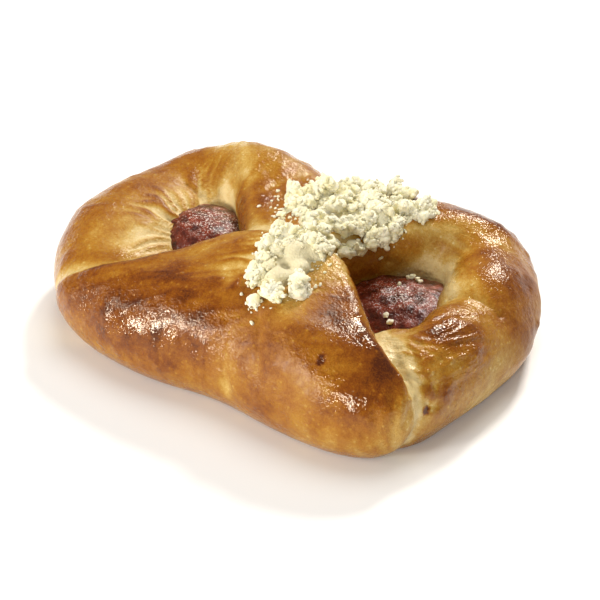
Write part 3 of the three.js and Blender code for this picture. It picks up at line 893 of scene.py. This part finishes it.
def crust_material(settings):
    """Glazed crust: its tone picks a colour from pale dough to caramel, with pores and pale bubbles."""
    material, shader, place = new_material("baked_crust")
    # The tone holds browning and, in the right pit, a painted highlight.
    tone_and_highlight = attribute_wire(place, "tone_and_highlight")
    patches = noise_wire(place, 4.5, detail=3.0, roughness=0.55)
    mottle = noise_wire(place, 1.3, detail=3.0, roughness=0.6)
    speckle = noise_wire(place, 0.35, roughness=0.6)
    bubbles = 1 - cells_wire(place, 2.3).between(0.08, 0.24)
    tone = tone_and_highlight + (patches - 0.5) * 0.34 + (mottle - 0.5) * 0.38 + (speckle - 0.5) * 0.36 - bubbles * 0.16
    stops = [
        (0.0, settings.pale), (0.22, settings.cream_gold), (0.44, settings.golden),
        (0.62, settings.amber), (0.80, settings.brown), (1.0, settings.caramel),
    ]
    dull = attribute_wire(place, "dull")
    pores = noise_wire(place, 0.7, roughness=0.6) * 0.8 + noise_wire(place, 1.7) * 1.2
    along = place.node("ShaderNodeMapping", {
        "Vector": place, "Rotation": (0, 0, math.radians(KNUCKLE_STROKES["heading"])),
        "Scale": (KNUCKLE_STROKES["stretch"], 1, 1)}, vector_type="TEXTURE")
    strokes = noise_wire(along, KNUCKLE_STROKES["size"]) * attribute_wire(place, "stroked")
    smoother = 1 - (dull * -1).clamped() * 1.6
    height = (pores + bubbles * 0.30) * smoother + strokes * KNUCKLE_STROKES["depth"]
    set_sockets(shader, {
        "Base Color": place.node("ShaderNodeValToRGB", {"Fac": tone.clamped()}, stops=stops),
        "Roughness": 0.17 + (mottle - 0.5) * 0.16 + (0.5 - tone_and_highlight) * 0.12 + dull * 0.45,
        "Normal": dents_wire(place, height, settings.skin_depth),
        "Specular IOR Level": 0.42, "Specular Tint": (1.0, 0.88, 0.68, 1),
        "Coat Weight": 0.05, "Coat Roughness": 0.22,
        "Subsurface Weight": 0.08, "Subsurface Radius": (0.004, 0.002, 0.001), "Subsurface Scale": 0.5})
    return material


def jam_material(settings):
    """Dark, glossy jam with pulp, and whitish specks that are partly sugary grain and partly painted
    highlight.
    """
    material, shader, place = new_material("set_jam")
    pulp = noise_wire(place, 3.0, detail=3.0, roughness=0.6)
    colour = pulp.between(0.3, 0.75).mixed(settings.deep, settings.bright)
    # Whitish specks in the base colour: partly sugary grain, partly painted highlight.
    frost_and_glint_mask = (attribute_wire(place, "frost_and_glint") + (pulp - 0.5) * 1.8).clamped()
    sugar_and_glint = noise_wire(place, 0.55, detail=3.0, roughness=0.75).between(0.55, 0.60) * frost_and_glint_mask
    height = noise_wire(place, 0.6, detail=3.0, roughness=0.65) + noise_wire(place, 2.0) * 0.8
    set_sockets(shader, {
        "Base Color": (sugar_and_glint * 0.9).mixed(colour, settings.sugar_and_glint),
        "Roughness": 0.13 + sugar_and_glint * 0.25,
        "Normal": dents_wire(place, height, settings.skin_depth),
        "Specular IOR Level": 0.45,
        "Subsurface Weight": 0.15, "Subsurface Radius": (0.004, 0.001, 0.0005), "Subsurface Scale": 0.5})
    return material


def crumble_material(settings):
    """Matt, buttery crumble with toasted flecks, and painted shade that darkens the smooth chunk."""
    material, shader, place = new_material("butter_crumble")
    fine = noise_wire(place, 0.5, roughness=0.6)
    colour = noise_wire(place, 3.2).between(0.35, 0.7).mixed(settings.pale, settings.buttery)
    colour = (fine.between(0.62, 0.8) * 0.5).mixed(colour, settings.toasted)
    # Painted shade: the smooth chunk is mixed towards a darker colour, as if it lay in duller light.
    colour = attribute_wire(place, "chunk_shade").mixed(colour, settings.chunk_shade)
    height = noise_wire(place, 0.6, detail=3.0, roughness=0.65)
    set_sockets(shader, {
        "Base Color": colour,
        "Roughness": 0.42 + (fine - 0.5) * 0.3,
        "Normal": dents_wire(place, height, settings.skin_depth),
        "Subsurface Weight": 0.3, "Subsurface Radius": (0.0025, 0.0022, 0.0018), "Subsurface Scale": 0.6})
    return material


# ---- Crumbs, by Geometry Nodes ----

# Shapes to strew, 1 mm across: first seed, balls of each kind, size of their faces, and how thickly
# crumbs that are strewn later cover them.
CRUMB_KINDS = {"name": "crumb", "seed": 10, "balls": (4, 5, 4, 5), "cell": 0.33, "cover": 0}
CLUMP_KINDS = {"name": "clump", "seed": 20, "balls": (10, 11, 12), "cell": 0.19, "cover": 0.4}
# The balls of one crumb: their sizes as shares of the mean, and how far their joins are rounded.
BALL_SIZES = (0.75, 1.25)
BALL_BLEND = 0.08
# A strewn crumb is stretched along each axis by a share between these.
UNEVENNESS = (0.65, 1.25)
# The higher this power, the rarer are large crumbs.
RARITY = 2.2
# How far a crumb's middle lies above what it is strewn on, mm.
LIFT = 0.1


def crumb_form(seed, balls, cell):
    """One crumb about 1 across, of small balls grown together. More balls make a clump."""
    draw = np.random.default_rng(seed)
    radius = 0.5 / balls ** (1 / 3)
    centres = draw.normal(0, 1, (balls, 3))
    centres *= (0.5 - 0.7 * radius) / np.linalg.norm(centres, axis=1, keepdims=True)
    radii = radius * draw.uniform(*BALL_SIZES, balls)
    radii[0], centres[0] = 0.5 - 0.5 * radius, 0

    def form(x, y, z):
        grown = np.full(np.broadcast(x, y, z).shape, 9.0)
        for centre, each in zip(centres, radii):
            away = np.sqrt((x - centre[0]) ** 2 + (y - centre[1]) ** 2 + (z - centre[2]) ** 2)
            grown = smooth_min(grown, away - each, BALL_BLEND)
        return grown

    points, faces = skin(form, (-1.1,) * 3, (1.1,) * 3, cell)
    return settle(form, points, cell, 1), faces


def crumb_shapes(name, seed, balls, cell, cover):
    """Crumbs 1 mm across as objects at the frame's origin, to be strewn."""
    shapes = []
    for number, count in enumerate(balls):
        points, faces = crumb_form(seed + number, count, cell)
        shade = {"cover": np.full(len(points), cover)}
        shapes.append(new_mesh("%s_%d" % (name, number), points + MIDDLE, faces, shade))
    return shapes


def scatter_tree(shapes, material):
    """Geometry Nodes that strew crumbs over a mesh, thickest where its attribute "cover" is high."""
    tree = bpy.data.node_groups.new("strewn_crumbs", "GeometryNodeTree")
    face = tree.interface
    face.new_socket("Geometry", in_out="INPUT", socket_type="NodeSocketGeometry")
    for name in ("Crumbs per square metre", "Smallest", "Largest", "Lift"):
        face.new_socket(name, in_out="INPUT", socket_type="NodeSocketFloat")
    face.new_socket("Seed", in_out="INPUT", socket_type="NodeSocketInt")
    face.new_socket("Keep the ground", in_out="INPUT", socket_type="NodeSocketBool")
    face.new_socket("Geometry", in_out="OUTPUT", socket_type="NodeSocketGeometry")
    nodes, links = tree.nodes, tree.links
    source = nodes.new("NodeGroupInput")

    def add(kind, values=(), **settings):
        node = nodes.new(kind)
        for name, value in settings.items():
            setattr(node, name, value)
        for name, value in dict(values).items():
            if isinstance(value, bpy.types.NodeSocket):
                links.new(value, node.inputs[name])
            else:
                node.inputs[name].default_value = value
        return node

    cover = add("GeometryNodeInputNamedAttribute", {"Name": "cover"}, data_type="FLOAT")
    density = add("ShaderNodeMath", {
        0: source.outputs["Crumbs per square metre"], 1: cover.outputs["Attribute"]}, operation="MULTIPLY")
    points = add("GeometryNodeDistributePointsOnFaces", {
        "Mesh": source.outputs["Geometry"], "Density": density.outputs[0], "Seed": source.outputs["Seed"]})
    lift = add("ShaderNodeVectorMath", {
        0: points.outputs["Normal"], "Scale": source.outputs["Lift"]}, operation="SCALE")
    raised = add("GeometryNodeSetPosition", {
        "Geometry": points.outputs["Points"], "Offset": lift.outputs[0]})
    pile = add("GeometryNodeJoinGeometry")
    for shape in reversed(shapes):
        info = add("GeometryNodeObjectInfo", {"Object": shape, "As Instance": True})
        links.new(info.outputs["Geometry"], pile.inputs["Geometry"])
    turn = add("FunctionNodeRandomValue", {
        "Min": (0, 0, 0), "Max": (2 * math.pi,) * 3, "Seed": source.outputs["Seed"]},
        data_type="FLOAT_VECTOR")
    chance = add("FunctionNodeRandomValue", {
        2: 0.0, 3: 1.0, "Seed": source.outputs["Seed"]}, data_type="FLOAT")
    rare = add("ShaderNodeMath", {0: chance.outputs[1], 1: RARITY}, operation="POWER")
    size = add("ShaderNodeMapRange", {
        "Value": rare.outputs[0], "To Min": source.outputs["Smallest"], "To Max": source.outputs["Largest"]})
    uneven = add("FunctionNodeRandomValue", {
        "Min": (UNEVENNESS[0],) * 3, "Max": (UNEVENNESS[1],) * 3, "Seed": source.outputs["Seed"]},
        data_type="FLOAT_VECTOR")
    grown = add("ShaderNodeVectorMath", {
        0: uneven.outputs["Value"], "Scale": size.outputs["Result"]}, operation="SCALE")
    strewn = add("GeometryNodeInstanceOnPoints", {
        "Points": raised.outputs["Geometry"], "Instance": pile.outputs["Geometry"], "Pick Instance": True,
        "Rotation": turn.outputs["Value"], "Scale": grown.outputs["Vector"]})
    real = add("GeometryNodeRealizeInstances", {"Geometry": strewn.outputs["Instances"]})
    ground = add("GeometryNodeSwitch", {
        "Switch": source.outputs["Keep the ground"], "True": source.outputs["Geometry"]},
        input_type="GEOMETRY")
    both = add("GeometryNodeJoinGeometry")
    links.new(real.outputs["Geometry"], both.inputs["Geometry"])
    links.new(ground.outputs["Output"], both.inputs["Geometry"])
    coated = add("GeometryNodeSetMaterial", {"Geometry": both.outputs["Geometry"], "Material": material})
    out = nodes.new("NodeGroupOutput")
    links.new(coated.outputs["Geometry"], out.inputs["Geometry"])
    return tree


def strew(ground, name, tree, per_cm2, smallest, largest, seed, keep_ground=False):
    """What the tree makes over the ground, as a new plain object; the ground's own object is removed."""
    values = {
        "Crumbs per square metre": per_cm2 * CM2_PER_M2, "Smallest": smallest, "Largest": largest,
        "Lift": LIFT * MM, "Seed": seed, "Keep the ground": keep_ground}
    modifier = ground.modifiers.new("strewn_crumbs", "NODES")
    modifier.node_group = tree
    for item in tree.interface.items_tree:
        if item.item_type == "SOCKET" and item.in_out == "INPUT" and item.name in values:
            modifier[item.identifier] = values[item.name]
    evaluated = ground.evaluated_get(bpy.context.evaluated_depsgraph_get())
    mesh = bpy.data.meshes.new_from_object(evaluated)
    mesh.name = name
    bpy.data.objects.remove(ground)
    return linked(name, mesh)


# ---- Settings ----

def colour_property(name, description, default):
    return bpy.props.FloatVectorProperty(
        name=name, description=description, default=default, subtype="COLOR", size=3, min=0, max=1)


class CrustSettings(bpy.types.PropertyGroup):
    cell: bpy.props.FloatProperty(
        name="Cell", description="Size of the crust's faces in mm", default=0.72, min=0.6, max=4)
    blisters: bpy.props.IntProperty(
        name="Blisters", description="How many blisters the crust has", default=260, min=0)
    seed: bpy.props.IntProperty(name="Seed", description="Where the blisters lie", default=4)
    skin_depth: bpy.props.FloatProperty(
        name="Skin depth", description="Depth of the fine pores in mm", default=0.27, min=0, max=1)
    pale: colour_property("Pale dough", "Dough in the folds", (0.64, 0.49, 0.23))
    cream_gold: colour_property("Pale gold", "Lightly baked dough", (0.48, 0.295, 0.066))
    golden: colour_property("Golden", "Golden crust", (0.35, 0.158, 0.014))
    amber: colour_property("Amber", "Well baked crust", (0.27, 0.093, 0.005))
    brown: colour_property("Brown", "Brown crust", (0.175, 0.044, 0.002))
    caramel: colour_property("Caramel", "Darkest crust", (0.065, 0.012, 0.002))


class JamSettings(bpy.types.PropertyGroup):
    cell: bpy.props.FloatProperty(
        name="Cell", description="Size of the jam's faces in mm", default=0.6, min=0.3, max=4)
    skin_depth: bpy.props.FloatProperty(
        name="Skin depth", description="Depth of the pulp's dents in mm", default=0.25, min=0, max=1)
    deep: colour_property("Deep jam", "Jam where it is thick", (0.045, 0.006, 0.003))
    bright: colour_property("Bright jam", "Jam where light comes through", (0.24, 0.036, 0.012))
    # Colour of the whitish specks: partly sugary grain, partly painted highlight.
    sugar_and_glint: colour_property("Grain", "Sugary grain on the jam", (0.88, 0.76, 0.66))


class CrumbleSettings(bpy.types.PropertyGroup):
    cell: bpy.props.FloatProperty(
        name="Cell", description="Size of the heap's faces in mm", default=0.9, min=0.4, max=4)
    skin_depth: bpy.props.FloatProperty(
        name="Skin depth", description="Depth of the crumbs' fine dents in mm", default=0.45, min=0, max=1)
    seed: bpy.props.IntProperty(name="Seed", description="Where the crumbs lie", default=7)
    crumbs_per_cm2: bpy.props.FloatProperty(
        name="Crumbs per square centimetre", description="How thickly crumbs cover the heap", default=63)
    grains_per_cm2: bpy.props.FloatProperty(
        name="Grains per square centimetre", description="How thickly grains lie where they gathered",
        default=34)
    smallest: bpy.props.FloatProperty(name="Smallest crumb", description="Across, in mm", default=0.8)
    largest: bpy.props.FloatProperty(name="Largest crumb", description="Across, in mm", default=2.1)
    clumps_per_cm2: bpy.props.FloatProperty(
        name="Clumps per square centimetre", description="How thickly clumps cover the heap", default=10)
    smallest_clump: bpy.props.FloatProperty(name="Smallest clump", description="Across, in mm", default=2.4)
    largest_clump: bpy.props.FloatProperty(name="Largest clump", description="Across, in mm", default=5.0)
    pale: colour_property("Pale crumble", "Lightest crumble", (0.93, 0.88, 0.67))
    buttery: colour_property("Buttery crumble", "Yellower crumble", (0.93, 0.86, 0.54))
    toasted: colour_property("Toasted crumble", "Toasted flecks", (0.84, 0.72, 0.38))
    # Painted shade on the smooth chunk, as if it lay in duller light.
    chunk_shade: colour_property("Moist crumble", "The smooth, buttery chunk", (0.70, 0.63, 0.41))


class StudioSettings(bpy.types.PropertyGroup):
    azimuth: bpy.props.FloatProperty(
        name="Azimuth", description="Direction the camera looks from",
        default=math.radians(30.5), subtype="ANGLE")
    elevation: bpy.props.FloatProperty(
        name="Elevation", description="Height of the camera's direction",
        default=math.radians(34), subtype="ANGLE")
    distance: bpy.props.FloatProperty(
        name="Distance", description="Camera to pastry", default=0.6, unit="LENGTH")
    lens: bpy.props.FloatProperty(
        name="Lens", description="Focal length in mm on a 36 mm sensor", default=132.5)
    floor: colour_property("Floor", "Colour of the plain floor", (0.93, 0.93, 0.93))


class TurnoverSettings(bpy.types.PropertyGroup):
    crust: bpy.props.PointerProperty(type=CrustSettings, name="Crust", description="The baked dough")
    jam: bpy.props.PointerProperty(type=JamSettings, name="Jam", description="The jam filling")
    crumble: bpy.props.PointerProperty(
        type=CrumbleSettings, name="Crumble", description="The butter crumble")
    studio: bpy.props.PointerProperty(
        type=StudioSettings, name="Studio", description="Floor, lights and camera")


# ---- The pieces ----

class TURNOVER_OT_crust(bpy.types.Operator):
    """Make the baked dough with its folds, wrinkles, blisters and browning"""
    bl_idname = "turnover.crust"
    bl_label = "Crust"

    def execute(self, context):
        settings = context.scene.turnover.crust
        points, faces = skin(dough, LOW, HIGH, settings.cell)
        points = settle(dough, points, settings.cell)
        outward, _ = slope_of(dough, points)
        relief = crust_relief(points, settings)
        tone_and_highlight = baked_tone_and_highlight(points, outward, relief)
        points = points + outward * relief[:, None]
        points[:, 2] = np.maximum(points[:, 2], 0)
        shades = {"tone_and_highlight": tone_and_highlight, "stroked": on_knuckle(*points.T), "dull": dulled(points)}
        crust = new_mesh("crust", points, faces, shades)
        crust.data.materials.append(crust_material(settings))
        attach(crust, "root")
        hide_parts("dough")
        return {"FINISHED"}


# Waves of the jam's surface: size, height, seed, and how far it is sunk.
JAM_WAVES = [(3.2, 0.45, 31), (1.5, 0.22, 32)]
JAM_SUNK = 0.25


class TURNOVER_OT_jam(bpy.types.Operator):
    """Make the jam that shows in both pits and runs under the flaps"""
    bl_idname = "turnover.jam"
    bl_label = "Jam"

    def execute(self, context):
        settings = context.scene.turnover.jam
        points, faces = skin(jam, *room_round(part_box("jam"), 2), settings.cell)
        points = settle(jam, points, settings.cell)
        outward, _ = slope_of(jam, points)
        points = points + outward * (layered(points, JAM_WAVES) - JAM_SUNK)[:, None]
        filling = new_mesh("jam_filling", points, faces, {"frost_and_glint": spots(points, FROST_AND_GLINT)})
        filling.data.materials.append(jam_material(settings))
        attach(filling, "root")
        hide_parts("jam")
        return {"FINISHED"}


# Crumbs that lie alone on the jam: x, y and size across.
GRAINS_ON_JAM = [
    (31, 14, 1.8), (32.6, 13.4, 1.5), (30, 13, 1.2), (34, 12.6, 1.3), (33, -4.5, 1.6), (35, -6, 1.9),
    (30, 8, 1.1),
]
# Lumps that stand out of the heap: x, y, size across.
BIG_LUMPS = [
    (15, 33, 6.0), (19, 32, 5.5), (27, 30, 5.0), (10, 31, 5.0), (4, 28, 5.5), (22, 24, 5.0), (12, 22, 6.0),
    (0, 20, 5.0), (6, 14, 5.0), (17, 14, 5.0), (2, -2, 4.5), (17, 1, 5.5), (20, -5, 5.5), (14, -30, 5.5),
    (6, -26, 4.5), (19, -26, 5.5), (20, 11, 5.0), (22, 14, 4.5), (9, 4, 5.0), (4, 5, 4.5), (17, 7, 5.0),
    (10, -33, 4.0), (25, 27, 5.0), (28, 25, 4.5), (15, 4.5, 4.5), (23.5, 17, 4.5), (13, 8, 5.0),
    (12, 2.5, 4.5), (16, 10, 4.5), (8, 0, 4.5),
]
# How each kind of lump is made: first seed, balls, size of its faces, and the share sunk in.
BIG_LUMP = {"seed": 70, "balls": 12, "cell": 0.1, "sunk": 0.2}
GRAIN_ON_JAM = {"seed": 90, "balls": 8, "cell": 0.13, "sunk": 0.12}
# A lump's height as a share of its size across.
LUMP_FLATNESS = 0.8
# How thickly crumbs cover a big lump, where the core is 1.
COVER_ON_LUMPS = 0.5
# A chunk of the heap that is smooth and darkened by painted shade: place and radius, how far it rises in mm,
# and how bare it is.
SMOOTH_CHUNK = ((15, -20, 36), (8, 9, 8))
CHUNK_RISE = 0.8
CHUNK_BARE = 0.93
# Waves of the core's surface: size, height, seed.
CORE_WAVES = [(3.4, 1.0, 41), (1.6, 0.5, 42)]
# The crust on which loose grains lie: corners of its box, the size of its faces, and where grains
# thicken: by the share in a band of crumble, by drifts of noise and by height.
GRAIN_GROUND = {
    "low": (-24, -42, 20), "high": (42, 44, 41), "cell": 1.4,
    "share": (-0.55, 0.15), "drift": (0.35, 0.75), "z": (22, 26)}
# The smallest loose grain in mm, and the largest as a share of the largest crumb.
SMALLEST_GRAIN = 0.6
LARGEST_GRAIN = 0.65


def top_of(form, x, y, highest=44, lowest=8, steps=721):
    """Height of the form's upper surface over a place."""
    z = np.linspace(highest, lowest, steps)
    return z[np.argmax(form(np.full_like(z, x), np.full_like(z, y), z) < 0)]


def merged(parts):
    """Points and faces of several meshes as one list each."""
    points, faces, count = [], [], 0
    for some_points, some_faces in parts:
        points.append(some_points)
        faces.append(some_faces + count)
        count += len(some_points)
    return np.concatenate(points), np.concatenate(faces)


def lumps_on(form, places, seed, balls, cell, sunk):
    """Lumps of their own shapes, each turned its own way and part sunk into what it lies on."""
    draw = np.random.default_rng(seed)
    parts = []
    for number, (x, y, size) in enumerate(places):
        points, faces = crumb_form(seed + number, balls, cell)
        turn = draw.uniform(0, 2 * math.pi)
        spun = points @ np.array([
            [math.cos(turn), math.sin(turn), 0], [-math.sin(turn), math.cos(turn), 0], [0, 0, LUMP_FLATNESS]])
        centre = np.array([x, y, top_of(form, x, y) + size * (LUMP_FLATNESS / 2 - sunk)])
        parts.append((spun * size + centre, faces))
    return merged(parts)


def heap_core(settings):
    """The heap's core and big lumps, with where crumbs cover it and where painted shade darkens its smooth
    chunk.
    """
    points, faces = skin(crumble_core, *room_round(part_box("crumble"), 3), settings.cell)
    points = settle(crumble_core, points, settings.cell, 1)
    outward, _ = slope_of(crumble_core, points)
    above = dough(*points.T)
    chunk = spot(points, *SMOOTH_CHUNK)
    lift = layered(points, CORE_WAVES) * (1 - chunk) + CHUNK_RISE * chunk
    points = points + outward * (lift * ease(above, 0, 0.6))[:, None]
    core_cover = ease(above, 0.0, 0.5) * (1 - CHUNK_BARE * ease(chunk, 0.3, 0.6))
    big = lumps_on(dough_and_core, BIG_LUMPS, **BIG_LUMP)
    points, faces = merged([(points, faces), big])
    cover = np.concatenate([core_cover, np.full(len(big[0]), COVER_ON_LUMPS)])
    # Where the smooth chunk gets its painted shade.
    chunk_shade = np.concatenate([ease(chunk, 0.15, 0.6), np.zeros(len(big[0]))])
    return new_mesh("heap_core", points, faces, {"cover": cover, "chunk_shade": chunk_shade})


def grain_ground():
    """The crust round the heap, with where loose grains gathered on it."""
    points, faces = skin(dough, GRAIN_GROUND["low"], GRAIN_GROUND["high"], GRAIN_GROUND["cell"])
    points = settle(dough, points, GRAIN_GROUND["cell"])
    x, y, z = points.T
    share = np.maximum(in_band(x, y, CRUMBLE_BACK), in_band(x, y, CRUMBLE_FRONT))
    drift = 0.5 + 0.5 * noise(points, 4, 63)
    cover = ease(share, *GRAIN_GROUND["share"]) * ease(drift, *GRAIN_GROUND["drift"])
    cover = cover * ease(z, *GRAIN_GROUND["z"])
    return new_mesh("grain_ground", points, faces, {"cover": cover})


class TURNOVER_OT_crumble(bpy.types.Operator):
    """Make the heap of butter crumble and the loose grains round it"""
    bl_idname = "turnover.crumble"
    bl_label = "Crumble"

    def execute(self, context):
        settings = context.scene.turnover.crumble
        material = crumble_material(settings)
        crumbs = crumb_shapes(**CRUMB_KINDS)
        clumps = crumb_shapes(**CLUMP_KINDS)
        heap = strew(
            heap_core(settings), "crumble_heap", scatter_tree(clumps, material), settings.clumps_per_cm2,
            settings.smallest_clump, settings.largest_clump, settings.seed, keep_ground=True)
        crumb_tree = scatter_tree(crumbs, material)
        small = strew(
            linked("crumb_ground", heap.data.copy()), "crumbs_on_heap", crumb_tree, settings.crumbs_per_cm2,
            settings.smallest, settings.largest, settings.seed)
        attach(heap, "root")
        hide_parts("crumble")
        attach(small, "root")

        grains = strew(
            grain_ground(), "crumble_grains", crumb_tree, settings.grains_per_cm2,
            SMALLEST_GRAIN, settings.largest * LARGEST_GRAIN, settings.seed + 1)
        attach(grains, "root")

        strays = new_mesh("grains_on_jam", *lumps_on(jam, GRAINS_ON_JAM, **GRAIN_ON_JAM))
        strays.data.materials.append(material)
        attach(strays, "root")
        for shape in crumbs + clumps:
            bpy.data.objects.remove(shape)
        return {"FINISHED"}


# ---- The studio ----

# Lights: name, direction from the pastry (x, y, z), distance m, width m, watts, colour.
LIGHTS = [
    ("back_window", (-0.04, 0.73, 0.67), 1.1, 0.22, 11, (1.0, 0.96, 0.90)),
    ("ceiling", (0.0, 0.25, 0.97), 1.3, 0.90, 7.5, (1.0, 0.97, 0.92)),
    ("left_window", (-0.68, -0.58, 0.42), 1.1, 0.22, 1.6, (1.0, 0.96, 0.90)),
    ("left_front_window", (-0.49, -0.84, 0.22), 1.1, 0.18, 7.0, (1.0, 0.97, 0.92)),
    ("front_window", (0.13, -0.94, 0.26), 1.1, 0.16, 5.2, (1.0, 0.96, 0.90)),
]
# The glaze doesn't mirror this one, so that level places keep their own colour.
UNMIRRORED = "ceiling"
ROOM = {"colour": (1.0, 0.97, 0.92, 1), "strength": 0.30}
# The floor's width in m.
FLOOR_WIDTH = 6
FLOOR_ROUGHNESS = 0.9
# The camera's sensor in mm.
SENSOR_WIDTH = 36
# The lights and the camera point at this place in the pastry's own frame, mm.
AIM = (4, 0, 11)


def aimed(name, data, aim, back, distance):
    """A lamp or camera at a distance in m from the aim, in the direction back, that looks at the aim."""
    holder = linked(name, data)
    holder.location = aim + back * distance
    holder.rotation_euler = back.to_track_quat("Z", "Y").to_euler()
    return holder


def light_room(scene, aim):
    """The room's even light, and the lamps as soft windows round the aim."""
    room = bpy.data.worlds.new("pale_room")
    room.use_nodes = True
    set_sockets(room.node_tree.nodes["Background"], {"Color": ROOM["colour"], "Strength": ROOM["strength"]})
    scene.world = room
    for name, heading, distance, width, watts, colour in LIGHTS:
        lamp = bpy.data.lights.new(name, "AREA")
        lamp.shape = "DISK"
        lamp.size = width
        lamp.energy = watts
        lamp.color = colour
        holder = aimed(name, lamp, aim, Vector(heading).normalized(), distance)
        holder.visible_glossy = name != UNMIRRORED


class TURNOVER_OT_studio(bpy.types.Operator):
    """Make the plain floor, the soft lights and the camera at the pastry's usual view"""
    bl_idname = "turnover.studio"
    bl_label = "Studio"

    def execute(self, context):
        settings = context.scene.turnover.studio
        scene = context.scene
        bpy.ops.mesh.primitive_plane_add(size=FLOOR_WIDTH)
        floor = context.object
        floor.name = "floor"
        paint, shader, _ = new_material("pale_floor")
        set_sockets(shader, {"Base Color": (*settings.floor, 1), "Roughness": FLOOR_ROUGHNESS})
        floor.data.materials.append(paint)

        aim = (Vector(AIM) - Vector(MIDDLE)) * MM
        light_room(scene, aim)
        scene.view_settings.view_transform = "Standard"

        a, e = settings.azimuth, settings.elevation
        back = Vector((math.sin(a) * math.cos(e), -math.cos(a) * math.cos(e), math.sin(e)))
        camera = bpy.data.cameras.new("camera")
        camera.sensor_width = SENSOR_WIDTH
        camera.lens = settings.lens
        scene.camera = aimed("camera", camera, aim, back, settings.distance)
        return {"FINISHED"}


class TURNOVER_PT_panel(bpy.types.Panel):
    """Lists the pieces of the turnover and their settings"""
    bl_idname = "TURNOVER_PT_panel"
    bl_label = "Jam Turnover"
    bl_space_type = "VIEW_3D"
    bl_region_type = "UI"
    bl_category = "Turnover"

    def draw(self, context):
        for operator, group in PIECES:
            box = self.layout.box()
            box.operator(operator.bl_idname)
            settings = getattr(context.scene.turnover, group)
            for name in settings.bl_rna.properties.keys():
                if name not in ("rna_type", "name"):
                    box.prop(settings, name)


PIECES = [
    (TURNOVER_OT_crust, "crust"),
    (TURNOVER_OT_jam, "jam"),
    (TURNOVER_OT_crumble, "crumble"),
    (TURNOVER_OT_studio, "studio"),
]
CLASSES = [
    CrustSettings, JamSettings, CrumbleSettings, StudioSettings, TurnoverSettings,
    *(operator for operator, _ in PIECES), TURNOVER_PT_panel,
]


def register():
    for each in CLASSES:
        bpy.utils.register_class(each)
    bpy.types.Scene.turnover = bpy.props.PointerProperty(
        type=TurnoverSettings, name="Turnover", description="Sizes and colours of the turnover")


def unregister():
    del bpy.types.Scene.turnover
    for each in reversed(CLASSES):
        bpy.utils.unregister_class(each)


def main():
    register()
    for operator, _ in PIECES:
        group, name = operator.bl_idname.split(".")
        getattr(getattr(bpy.ops, group), name)()


if __name__ == "__main__":
    main()
